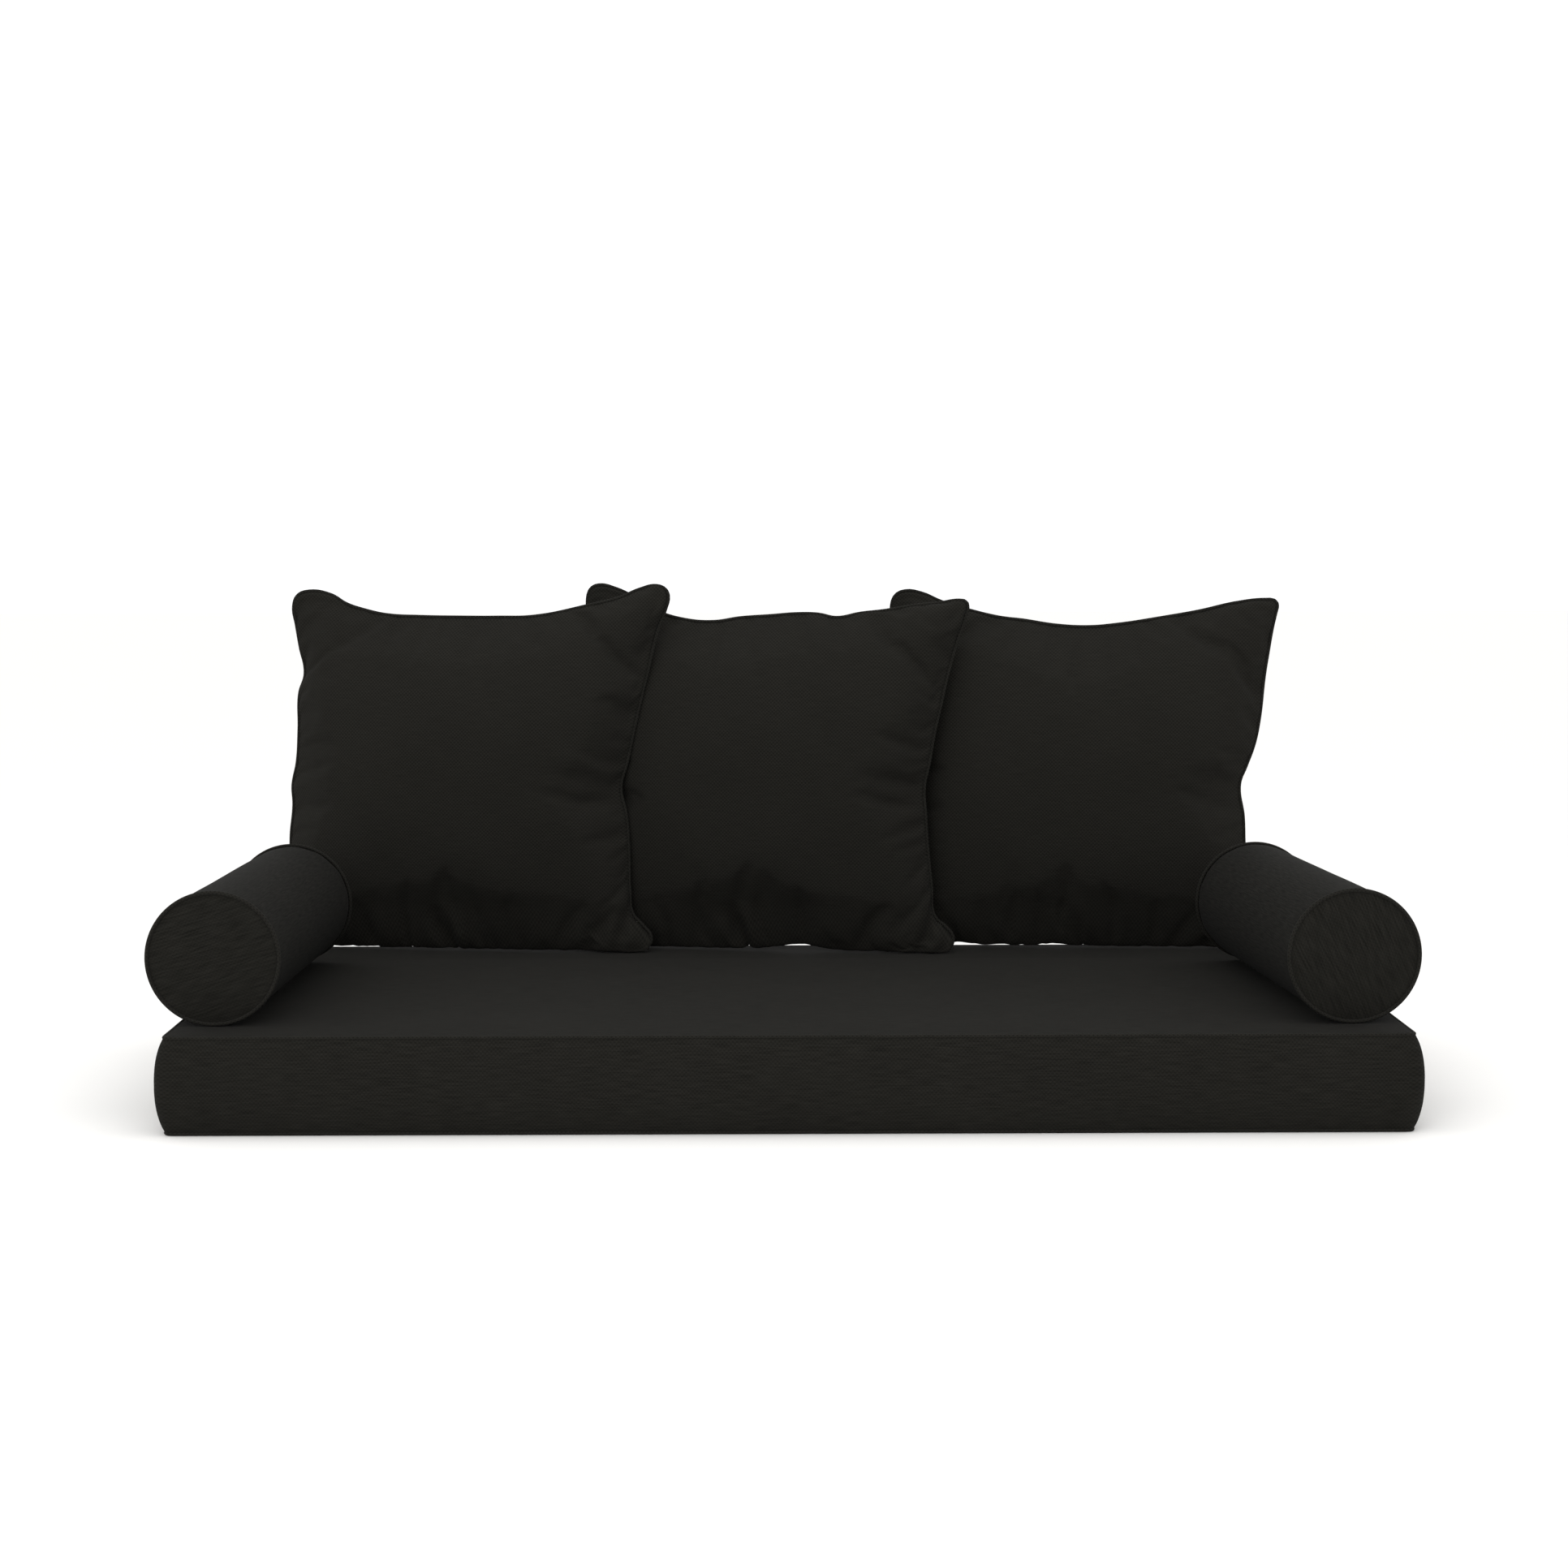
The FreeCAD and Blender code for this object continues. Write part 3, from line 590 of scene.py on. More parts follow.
def square_to_round(x, y, plan_x, plan_y, corner):
    """Moves a point of a rectangle's corner square on to the same place of a round corner."""
    over_x = abs(x) - (plan_x - corner)
    over_y = abs(y) - (plan_y - corner)
    if over_x <= 0 or over_y <= 0:
        return x, y
    share = max(over_x, over_y) / math.hypot(over_x, over_y)
    return (
        math.copysign(plan_x - corner + over_x * share, x),
        math.copysign(plan_y - corner + over_y * share, y),
    )


# How far the outer rows of a panel lie from its edge.
EDGE_ROWS = (0.0, 1.5 * MM, 3.0 * MM, 6.0 * MM, 11.0 * MM)


def graded(position, count, half):
    """A place across a panel, from -1 to 1 in even steps, with the rows crowded at the edges."""
    index = round((position + 1) * count / 2)
    from_edge = min(index, count - index)
    if from_edge < len(EDGE_ROWS):
        place = half - EDGE_ROWS[from_edge]
    else:
        inner = half - EDGE_ROWS[-1]
        first = len(EDGE_ROWS) - 1
        place = inner * (1 - (from_edge - first) / (count / 2 - first))
    return math.copysign(place, position)


def panel_mesh(plan, height, settings, top):
    """The top or bottom panel, whose edge tucks in beside the piping."""
    tuck = 3.2 * MM
    half_x = plan.flat_x + plan.radius - tuck
    half_y = plan.flat_y + plan.radius - tuck
    corner = plan.radius - tuck
    bm = bmesh.new()
    segments = (130, 68) if top else (65, 34)
    bmesh.ops.create_grid(bm, x_segments=segments[0], y_segments=segments[1], size=1)
    uv = bm.loops.layers.uv.new(CLOTH_UV)
    for vertex in bm.verts:
        flat_x = graded(vertex.co.x, segments[0], half_x)
        flat_y = graded(vertex.co.y, segments[1], half_y)
        vertex.co = (*square_to_round(flat_x, flat_y, half_x, half_y, corner), 0)
    for face in bm.faces:
        for loop in face.loops:
            loop[uv].uv = loop.vert.co.xy
    for vertex in bm.verts:
        x, y, _ = vertex.co
        inset = min(half_x - abs(x), half_y - abs(y))
        if not top:
            vertex.co = (x, y, 0.4 * MM + 2.2 * MM * smooth_step(1 - inset / (5 * MM)))
            continue
        rise_x = max(0.0, 1 - (x / 0.80) ** 4)
        rise_y = max(0.0, 1 - ((y + 0.08) / 0.40) ** 4)
        crown = settings.crown * rise_x * rise_y
        crown *= 1 + 0.35 * noise.noise(Vector((x * 3, y * 3, 2)))
        drop = 2.4 * MM * (1 - smooth_step(inset / (2.6 * MM)))
        fall = 0.8 * MM * math.exp(-inset / (7 * MM))
        ripple = gather(x if half_y - abs(y) < half_x - abs(x) else y, inset, 0.5 * MM, 1.0)
        vertex.co = (x, y, height + crown - drop - fall + ripple * smooth_step(inset / (8 * MM)))
    if not top:
        bmesh.ops.reverse_faces(bm, faces=bm.faces)
    return bm


def joined(parts):
    """One bmesh that holds all the given ones."""
    whole = bmesh.new()
    for part in parts:
        mesh = bpy.data.meshes.new("part")
        part.to_mesh(mesh)
        part.free()
        whole.from_mesh(mesh)
        bpy.data.meshes.remove(mesh)
    return whole


class DAYBED_OT_mattress(bpy.types.Operator):
    """Make the mattress cover and its piping"""

    bl_idname = "daybed.mattress"
    bl_label = "Mattress"

    def execute(self, context):
        settings = context.scene.daybed_mattress
        low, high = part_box("mattress_top_welt")
        radius = (high.z - low.z) / 2
        plan = RoundedRectangle(high.x, high.y, 16 * MM)
        height = high.z
        zip_low, zip_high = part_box("mattress_zip_coil")
        tape_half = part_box("mattress_zip_tape")[1].x
        middle = (zip_low.z + zip_high.z) / 2
        chain_depth = high.y + settings.bulge - (zip_low.y + zip_high.y) / 2 + CLOTH_BEHIND_ZIP
        boxing = boxing_mesh(plan, height, settings, middle, tape_half, chain_depth)
        top = panel_mesh(plan, height, settings, True)
        bottom = panel_mesh(plan, height, settings, False)
        cover = to_piece(
            "mattress_cover",
            joined([boxing, top, bottom]),
            [canvas("acrylic_canvas_basket_weave")],
            "mattress",
            (
                "mattress_top_panel",
                "mattress_bottom_panel",
                "mattress_boxing",
                "mattress_zip_band_upper",
                "mattress_zip_band_lower",
            ),
        )
        subdivide(cover)
        for name, level in (("top", height - radius), ("bottom", radius)):
            line = plan.line(radius, level, 5 * MM)
            piping("mattress_%s_piping" % name, line, radius, "mattress", ["mattress_%s_welt" % name])
        return {"FINISHED"}


# ---------------------------------------------------------------- pillows
# A pillow's own axes are across it, up it, and back out of it, in millimetres from the
# middle of its bottom edge on the mattress. Each seam line runs from ear tip to ear tip.

SEAM_LINES = {
    "left": {
        "bottom": [
            (-346, 8), (-322, 1), (-292, 5), (-200, 12), (-70, 14), (60, 13), (170, 14), (236, 9),
            (276, 2), (305, 1), (324, 10),
        ],
        "right": [
            (329, 30), (312, 52), (294, 72), (289, 110), (286, 193), (281, 250), (271, 300),
            (282, 344), (292, 392), (304, 448), (317, 503), (337, 585), (351, 622), (356, 645), (350, 660),
        ],
        "top": [
            (331, 668), (298, 661), (262, 646), (205, 632), (105, 612), (36, 610), (-33, 610),
            (-110, 611), (-171, 614), (-214, 623), (-248, 634), (-276, 650), (-323, 657), (-345, 648),
        ],
        "left": [
            (-353, 627), (-347, 590), (-340, 552), (-330, 502), (-340, 468), (-341, 400), (-344, 340),
            (-352, 296), (-350, 262), (-355, 199), (-352, 120), (-350, 60), (-356, 30),
        ],
    },
    "middle": {
        "bottom": [
            (-346, 8), (-322, 1), (-290, 5), (-200, 9), (-90, 10), (-20, 15), (50, 18), (105, 14),
            (160, 8), (240, 5), (290, 1), (318, 3), (331, 12),
        ],
        "right": [
            (334, 32), (320, 50), (300, 68), (294, 120), (286, 193), (282, 250), (279, 298),
            (288, 345), (297, 400), (308, 450), (320, 505), (338, 570), (350, 606), (355, 628), (350, 638),
        ],
        "top": [
            (338, 641), (300, 636), (246, 630), (200, 622), (156, 617), (112, 609), (80, 615), (44, 616),
            (-10, 612), (-66, 608), (-115, 601), (-170, 605), (-225, 622), (-262, 645), (-300, 662),
            (-329, 668), (-347, 661),
        ],
        "left": [
            (-355, 640), (-350, 600), (-343, 540), (-345, 440), (-346, 330), (-347, 200), (-349, 100),
            (-355, 34),
        ],
    },
    "right": {
        "bottom": [
            (-346, 8), (-322, 1), (-292, 3), (-225, 9), (-180, 5), (-100, 6), (-46, 10), (20, 7),
            (120, 8), (220, 5), (290, 2), (318, 4), (332, 12),
        ],
        "right": [
            (336, 32), (325, 54), (311, 80), (303, 130), (299, 186), (297, 240), (290, 300),
            (301, 330), (316, 372), (325, 417), (334, 499), (341, 544), (348, 585), (354, 612), (357, 628),
        ],
        "top": [
            (350, 638), (334, 640), (278, 634), (212, 619), (145, 607), (60, 594), (11, 590), (-50, 593),
            (-108, 602), (-150, 607), (-198, 618), (-258, 636), (-296, 652), (-326, 656), (-345, 648),
        ],
        "left": [
            (-354, 628), (-350, 590), (-346, 520), (-344, 420), (-345, 320), (-347, 200), (-350, 100),
            (-356, 34),
        ],
    },
}

# Folds of the front face: start and end (across, up), depth and half-width.
FOLDS = {
    "left": [
        ((262, 304), (150, 322), 5.0, 16),
        ((268, 290), (196, 262), 3.0, 14),
        ((-64, 66), (0, 6), 9.0, 11),
        ((-188, 58), (-156, 5), 5.0, 10),
        ((-140, 40), (-118, 4), 3.5, 8),
        ((282, 66), (262, 4), 8.0, 9),
        ((120, 40), (150, 4), 3.0, 10),
        ((-326, 502), (-262, 494), 3.0, 12),
    ],
    "middle": [
        ((272, 300), (168, 318), 5.0, 16),
        ((274, 284), (205, 258), 3.0, 14),
        ((-76, 72), (-18, 12), 9.0, 11),
        ((-196, 40), (-172, 5), 5.0, 9),
        ((292, 62), (270, 4), 8.0, 9),
        ((180, 36), (212, 5), 3.0, 10),
    ],
    "right": [
        ((282, 302), (196, 314), 5.0, 15),
        ((-30, 74), (14, 8), 8.0, 11),
        ((-152, 36), (-140, 4), 4.5, 9),
        ((-60, 26), (-44, 4), 4.0, 8),
        ((110, 28), (124, 4), 3.5, 9),
    ],
}
# Places where the bottom edge stands clear of the mattress: middle, half-width and lift.
LIFTED = {
    "left": [],
    "middle": [(52, 46, 10)],
    "right": [(-222, 26, 5), (-150, 20, 2), (-44, 24, 4)],
}
SAG_HEIGHT = 90 * MM
SAG_DEPTH = 10 * MM
SAG_PRESS = 7 * MM
SAG_REACH = 350 * MM
SAG_STEP = 7 * MM
SAG_FADE = 24 * MM
REST_CLEARANCE = 1.2 * MM
GRID = 92
SEAM_STEPS = 12
# Of each layer inside a pillow: its name, its slot, its width and depth as shares of the cover's,
# and how much further in it lies.
INSERT_LAYERS = (
    ("insert_casing", "insert_lining", 0.94, 0.80, 6.0 * MM),
    ("insert_fill", "polyester_wadding", 0.93, 0.75, 8.0 * MM),
)


def smooth_loop(points):
    """A closed curve through the points, with SEAM_STEPS points to each gap."""
    curve = bpy.data.curves.new("seam", "CURVE")
    curve.dimensions = "3D"
    curve.resolution_u = SEAM_STEPS
    spline = curve.splines.new("BEZIER")
    spline.bezier_points.add(len(points) - 1)
    for place, (across, up) in zip(spline.bezier_points, points):
        place.co = (across * MM, up * MM, 0)
        place.handle_left_type = "AUTO"
        place.handle_right_type = "AUTO"
    spline.use_cyclic_u = True
    holder = bpy.data.objects.new("seam", curve)
    bpy.context.scene.collection.objects.link(holder)
    bpy.context.view_layer.update()
    mesh = bpy.data.meshes.new_from_object(holder.evaluated_get(bpy.context.evaluated_depsgraph_get()))
    line = [vertex.co.copy() for vertex in mesh.vertices]
    bpy.data.objects.remove(holder)
    bpy.data.curves.remove(curve)
    bpy.data.meshes.remove(mesh)
    return line


def drawn_in(line, inset):
    """The closed line moved inwards, which is to its left."""
    result = []
    for index, point in enumerate(line):
        run = line[(index + 1) % len(line)] - line[index - 1]
        inward = Vector((-run.y, run.x, 0)).normalized()
        result.append(point + inward * inset)
    return result


def resampled(line, count):
    """The open line as count + 1 evenly spaced points."""
    lengths = [0.0]
    for before, after in zip(line, line[1:]):
        lengths.append(lengths[-1] + (after - before).length)
    points = []
    index = 0
    for k in range(count + 1):
        target = lengths[-1] * k / count
        while index < len(line) - 2 and lengths[index + 1] < target:
            index += 1
        span = max(lengths[index + 1] - lengths[index], 1e-9)
        points.append(line[index].lerp(line[index + 1], (target - lengths[index]) / span))
    return points


def seam_sides(name, radius):
    """The four sides of a pillow's seam, each from left to right or from bottom to top."""
    sides = SEAM_LINES[name]
    order = ("bottom", "right", "top", "left")
    points = [point for side in order for point in sides[side]]
    line = drawn_in(smooth_loop(points), radius)
    corners = []
    passed = 0
    for side in order:
        corners.append(passed * SEAM_STEPS)
        passed += len(sides[side])
    line = line + [line[0]]
    corners.append(len(line) - 1)
    cut = {side: resampled(line[corners[k] : corners[k + 1] + 1], GRID) for k, side in enumerate(order)}
    cut["top"].reverse()
    cut["left"].reverse()
    return cut


def between_sides(sides, i, j):
    """The point of the flat panel at column i and row j."""
    u = i / GRID
    v = j / GRID
    low, high = sides["bottom"], sides["top"]
    left, right = sides["left"], sides["right"]
    ruled = low[i] * (1 - v) + high[i] * v + left[j] * (1 - u) + right[j] * u
    corners = (low[0] * (1 - u) + low[-1] * u) * (1 - v) + (high[0] * (1 - u) + high[-1] * u) * v
    return ruled - corners


class PillowFrame:
    """Where a pillow stands, from its joints and its piping."""

    def __init__(self, name):
        carrier = name + "_pillow"
        self.up = Vector(JOINTS["lift_" + carrier]["axis"]).normalized()
        self.across = -Vector(JOINTS["slide_%s_zip" % carrier]["axis"]).normalized()
        self.back = self.up.cross(self.across)
        zip_span = extent(carrier + "_zip", self.across)
        welt = carrier + "_welt"
        depth = extent(welt, self.back)
        self.origin = (
            self.across * (sum(zip_span) / 2)
            + self.back * (sum(depth) / 2)
            + self.up * (extent(welt, self.up)[0] - 0.4 * MM)
        )

    def world(self, across, back, up):
        return self.origin + self.across * across + self.back * back + self.up * up

    def local(self, point):
        away = point - self.origin
        return away.dot(self.across), away.dot(self.back), away.dot(self.up)


def pillow_mesh(name, settings, radius):
    """Front and back panels as one closed mesh, and the four sides of its seam line."""
    sides = seam_sides(name, radius)
    bm = bmesh.new()
    bmesh.ops.create_grid(bm, x_segments=GRID, y_segments=GRID, size=1)
    uv = bm.loops.layers.uv.new(CLOTH_UV)
    flat = {}
    for vertex in bm.verts:
        i = round((vertex.co.x + 1) * GRID / 2)
        j = round((vertex.co.y + 1) * GRID / 2)
        flat[vertex] = (between_sides(sides, i, j), vertex.co.x, vertex.co.y)
    for face in bm.faces:
        for loop in face.loops:
            loop[uv].uv = flat[loop.vert][0].xy
    front_faces = bm.faces[:]
    copied = bmesh.ops.duplicate(bm, geom=bm.verts[:] + bm.edges[:] + bm.faces[:])
    back_verts = {copied["vert_map"][v]: place for v, place in flat.items()}
    back_faces = [item for item in copied["geom"] if isinstance(item, bmesh.types.BMFace)]
    bmesh.ops.reverse_faces(bm, faces=back_faces)
    for face in back_faces:
        for loop in face.loops:
            loop[uv].uv.x = 2 - loop[uv].uv.x
    for side, places in ((-1, flat), (1, back_verts)):
        for vertex, (point, u, v) in places.items():
            sharper = 3.4 if v < 0 and side < 0 else 2.5
            dome = max(0.0, (1 - abs(u) ** 2.5) * (1 - abs(v) ** sharper))
            plump = settings.ear_fill if (u > 0) == (side < 0) else settings.ear_fill / 3
            dome **= 0.88 - plump * smooth_step((abs(u) + abs(v) - 1.4) / 0.5)
            vertex.co = (point.x, side * settings.crown * dome, point.y)
    if front_faces[0].normal.y > 0:
        bmesh.ops.reverse_faces(bm, faces=bm.faces)
    bmesh.ops.remove_doubles(bm, verts=bm.verts[:], dist=SAME_PLACE)
    bm.normal_update()
    return bm, sides


def inflate(mesh, settings):
    """Presses the filling out against the cloth with its seam held, and returns how far each
    point moves."""
    stuffed = bpy.data.objects.new("stuffed", mesh)
    bpy.context.scene.collection.objects.link(stuffed)
    held = stuffed.vertex_groups.new(name="seam")
    seam = [v.index for v in mesh.vertices if abs(v.co.y) < SAME_PLACE]
    held.add(seam, 1.0, "REPLACE")
    modifier = stuffed.modifiers.new("Cloth", "CLOTH")
    cloth = modifier.settings
    cloth.quality = 4
    cloth.mass = 0.25
    cloth.tension_stiffness = 30
    cloth.compression_stiffness = 12
    cloth.shear_stiffness = 6
    cloth.bending_stiffness = 0.6
    cloth.use_pressure = True
    cloth.uniform_pressure_force = settings.pressure
    cloth.vertex_group_mass = "seam"
    cloth.shrink_min = -settings.looseness
    cloth.effector_weights.gravity = 0
    modifier.collision_settings.use_collision = False
    modifier.point_cache.frame_start = 1
    modifier.point_cache.frame_end = 20
    scene = bpy.context.scene
    for number in range(1, 21):
        scene.frame_set(number)
    result = stuffed.evaluated_get(bpy.context.evaluated_depsgraph_get()).to_mesh()
    moves = [after.co - before.co for before, after in zip(mesh.vertices, result.vertices)]
    stuffed.evaluated_get(bpy.context.evaluated_depsgraph_get()).to_mesh_clear()
    bpy.data.objects.remove(stuffed)
    scene.frame_set(1)
    return moves


def fold_depth(across, up, folds):
    """How far the folds push the front face in at a place, in metres."""
    depth = 0.0
    here = Vector((across / MM, up / MM))
    for start, end, most, half_width in folds:
        start = Vector(start)
        run = Vector(end) - start
        share = (here - start).dot(run) / run.length_squared
        if not -0.25 < share < 1.3:
            continue
        aside = abs((here - start).cross(run) / run.length)
        taper = math.sin(math.pi * max(0.0, min(1.0, (share + 0.2) / 1.35))) ** 0.8
        valley = math.exp(-((aside / half_width) ** 2))
        shoulder = math.exp(-(((aside - 2.1 * half_width) / half_width) ** 2))
        depth += most * MM * taper * (valley - 0.4 * shoulder)
    return depth


class Resting:
    """How far the front of a pillow sags for its belly to rest on the mattress."""

    def __init__(self, name, points):
        self.name = name
        count = round(2 * SAG_REACH / SAG_STEP) + 1
        self.lowest = [SAG_HEIGHT] * count
        for across, back, up in points:
            if -back > SAG_DEPTH / 2 and abs(across) < SAG_REACH:
                column = round((across + SAG_REACH) / SAG_STEP)
                self.lowest[column] = min(self.lowest[column], up)

    def clearance(self, across):
        gap = REST_CLEARANCE
        for middle, half_width, lift in LIFTED[self.name]:
            gap += lift * MM * math.exp(-(((across / MM - middle) / half_width) ** 2))
        return gap

    def sagged(self, across, back, up):
        if up > SAG_HEIGHT or abs(across) > SAG_REACH:
            return up
        place = (across + SAG_REACH) / SAG_STEP
        column = min(int(place), len(self.lowest) - 2)
        share = place - column
        lowest = self.lowest[column] * (1 - share) + self.lowest[column + 1] * share
        clearance = self.clearance(across)
        fall = max(0.0, lowest - clearance + SAG_PRESS)
        fall *= smooth_step(-back / SAG_DEPTH) * smooth_step((SAG_REACH - abs(across)) / SAG_FADE)
        fall *= 1 - smooth_step((up - lowest) / (SAG_HEIGHT - lowest))
        return max(min(up, clearance), up - fall)


def shaped_point(point, name, zip_line):
    """Folds, unevenness and the flat of the zip for one point, given and returned in the
    pillow's own axes."""
    across, back, up = point
    side = -1 if back < 0 else 1
    depth = abs(back)
    if side < 0:
        depth -= fold_depth(across, up, FOLDS[name]) * smooth_step(depth / (14 * MM))
    waves = noise.noise(Vector((across * 9, up * 9, 4 * side + len(name))))
    depth += 2.4 * MM * waves * smooth_step(depth / (50 * MM))
    if side > 0:
        zip_across, zip_back, zip_up, lean, half_length = zip_line
        beside = abs(up - zip_up)
        near = (1 - smooth_step((beside - 14 * MM) / (26 * MM))) * (
            1 - smooth_step((abs(across - zip_across) - half_length) / (30 * MM))
        )
        level = zip_back + (up - zip_up) * lean
        depth = depth * (1 - near) + level * near
    return across, side * depth, up


def zip_rest_line(stand, carrier):
    """The zip's middle, the lean of its plane and its half-length in the pillow's own axes."""
    places = [stand.local(vertex.co) for vertex in NODES[carrier + "_zip"].data.vertices]
    count = len(places)
    middle = [sum(p[k] for p in places) / count for k in range(3)]
    rise = sum((p[2] - middle[2]) ** 2 for p in places)
    lean = sum((p[1] - middle[1]) * (p[2] - middle[2]) for p in places) / rise
    half_length = (max(p[0] for p in places) - min(p[0] for p in places)) / 2
    return middle[0], middle[1] - CLOTH_BEHIND_ZIP, middle[2], lean, half_length


def make_insert(name, stand, shape, points):
    """The inner case and its wadding, drawn in from the stuffed cover's shape."""
    carrier = name + "_pillow"
    middle_up = sum(point[2] for point in points) / len(points)
    for part, slot, spread, thickness, inset in INSERT_LAYERS:
        mesh = shape.copy()
        for vertex, (across, back, up) in zip(mesh.vertices, points):
            depth = max(abs(back) * thickness - inset, 0.0)
            up = middle_up + (up - middle_up) * spread
            vertex.co = stand.world(across * spread, math.copysign(depth, back), up)
        material = cotton_lining() if part == "insert_casing" else polyester_wadding()
        mesh_piece(
            "%s_%s_shape" % (carrier, part), mesh, [material], carrier, ["%s_%s" % (carrier, part)]
        )


def make_pillow(name, settings):
    carrier = name + "_pillow"
    stand = PillowFrame(name)
    radius = CORD_RADIUS
    bm, sides = pillow_mesh(name, settings, radius)
    mesh = bpy.data.meshes.new(carrier + "_cover")
    bm.to_mesh(mesh)
    bm.free()
    for vertex, move in zip(mesh.vertices, inflate(mesh, settings)):
        if move.length > settings.movement_cap:
            move *= settings.movement_cap / move.length
        vertex.co += move
    zip_line = zip_rest_line(stand, carrier)
    points = [
        shaped_point(vertex.co, name, zip_line) if abs(vertex.co.y) > SAME_PLACE else tuple(vertex.co)
        for vertex in mesh.vertices
    ]
    rest = Resting(name, points)
    points = [(across, back, rest.sagged(across, back, up)) for across, back, up in points]
    make_insert(name, stand, mesh, points)
    rest_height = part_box("mattress_top_panel")[1].z + REST_CLEARANCE / 2
    for vertex, point in zip(mesh.vertices, points):
        place = stand.world(*point)
        place.z = max(place.z, rest_height)
        vertex.co = place
    cover = mesh_piece(
        carrier + "_cover",
        mesh,
        # Painted light: the pillow cloth is painted paler all over than the same canvas on the mattress.
        [canvas("acrylic_canvas_open_basket_weave_painted_light", weave_share=0.64, painted_light_shift=0.13)],
        carrier,
        [carrier + "_front_panel", carrier + "_back_panel"],
    )
    subdivide(cover)
    loop = sides["bottom"][:-1] + sides["right"][:-1] + sides["top"][:0:-1] + sides["left"][:0:-1]
    line = even_line([stand.world(p.x, 0, p.y) for p in loop], 4 * MM)
    piping(carrier + "_piping", line, radius, carrier, [carrier + "_welt"])


class DAYBED_OT_pillows(bpy.types.Operator):
    """Make the three stuffed pillow covers and their piping"""

    bl_idname = "daybed.pillows"
    bl_label = "Pillows"

    def execute(self, context):
        for name in PILLOWS:
            make_pillow(name, context.scene.daybed_pillow)
        return {"FINISHED"}


# ---------------------------------------------------------------- bolsters


class DAYBED_OT_bolsters(bpy.types.Operator):
    """Make the two bolster covers and their piping"""

    bl_idname = "daybed.bolsters"
    bl_label = "Bolsters"

    def execute(self, context):
        for name in BOLSTERS:
            make_bolster(name, context.scene.daybed_bolster)
        return {"FINISHED"}


def centre_of(node):
    low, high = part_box(node)
    return (low + high) / 2


def tube_mesh(radius, half_length, settings, slot_angle, slot_half, seed):
    """The tube about Y, drawn in beside its seams and sunk along the zip."""
    bm = bmesh.new()
    columns = 120
    lay_down = Matrix.Rotation(-math.pi / 2, 4, "X")
    bmesh.ops.create_cone(
        bm,
        cap_ends=False,
        segments=columns,
        radius1=radius,
        radius2=radius,
        depth=2 * half_length,
        matrix=lay_down,
    )
    slot_offset = 6 * MM / radius
    angles = [slot_angle + side * slot_offset for side in (-1, 1)]
    for angle in angles:
        normal = Vector((-math.sin(angle), 0, math.cos(angle)))
        facing = Vector((math.cos(angle), 0, math.sin(angle)))
        geometry = [f for f in bm.faces if f.calc_center_median().dot(facing) > 0]
        edges = list({e for f in geometry for e in f.edges})
        bmesh.ops.bisect_plane(bm, geom=geometry + edges, plane_co=(0, 0, 0), plane_no=normal)
    ends = [half_length - d * MM for d in (2, 5, 10, 18)]
    rows = evenly(-half_length + 28 * MM, half_length - 28 * MM, 14 * MM) + ends + [-e for e in ends]
    cut_rows(bm, 1, rows)
    uv = bm.loops.layers.uv.new(CLOTH_UV)
    for face in bm.faces:
        middle = face.calc_center_median()
        centre_angle = math.atan2(middle.z, middle.x)
        for loop in face.loops:
            angle = math.atan2(loop.vert.co.z, loop.vert.co.x)
            angle += 2 * math.pi * round((centre_angle - angle) / (2 * math.pi))
            loop[uv].uv = (angle * radius, loop.vert.co.y)
    for vertex in bm.verts:
        x, y, z = vertex.co
        angle = math.atan2(z, x)
        from_end = half_length - abs(y)
        dip = settings.seam_dip * math.exp(-from_end / (9 * MM))
        tuck = 2.0 * MM * math.exp(-from_end / (2.5 * MM))
        waves = noise.noise(Vector((x * 9, y * 5, z * 9 + seed)))
        ripple = gather(angle * radius, from_end, 1.4 * MM, seed)
        on_floor = smooth_step((-math.sin(angle) - 0.9) * 10)
        swell = (0.9 * MM * waves + ripple) * (1 - on_floor)
        off = abs((angle - slot_angle + math.pi) % (2 * math.pi) - math.pi)
        sunk = 5.6 * MM if off < slot_offset * 0.93 and abs(y) < slot_half else 0.0
        reach = radius - dip - tuck + min(swell, 0.7 * MM) - sunk
        vertex.co = (reach * math.cos(angle), y, reach * math.sin(angle))
    return bm


def disc_mesh(radius, side, settings, seed):
    """An end disc with a soft swell, facing along Y."""
    bm = bmesh.new()
    steps = 26
    bmesh.ops.create_grid(bm, x_segments=steps * 2, y_segments=steps * 2, size=1)
    uv = bm.loops.layers.uv.new(CLOTH_UV)
    for vertex in bm.verts:
        x, y = vertex.co.x, vertex.co.y
        span = math.hypot(x, y)
        share = max(abs(x), abs(y)) / span if span > 0 else 0
        x, y = x * share * radius, y * share * radius
        out = math.hypot(x, y) / radius
        swell = settings.end_crown * (1 - out**2.4)
        ripple = gather(math.atan2(y, x) * radius, radius * (1 - out), 0.9 * MM, seed)
        swell += ripple * min(1, 12 * (1 - out))
        swell += 0.6 * MM * noise.noise(Vector((x * 22, y * 22, seed)))
        vertex.co = (x, swell * side, y)
    for face in bm.faces:
        for loop in face.loops:
            loop[uv].uv = loop.vert.co.xz
    bm.normal_update()
    if sum(face.normal.y for face in bm.faces) * side < 0:
        bmesh.ops.reverse_faces(bm, faces=bm.faces)
    return bm


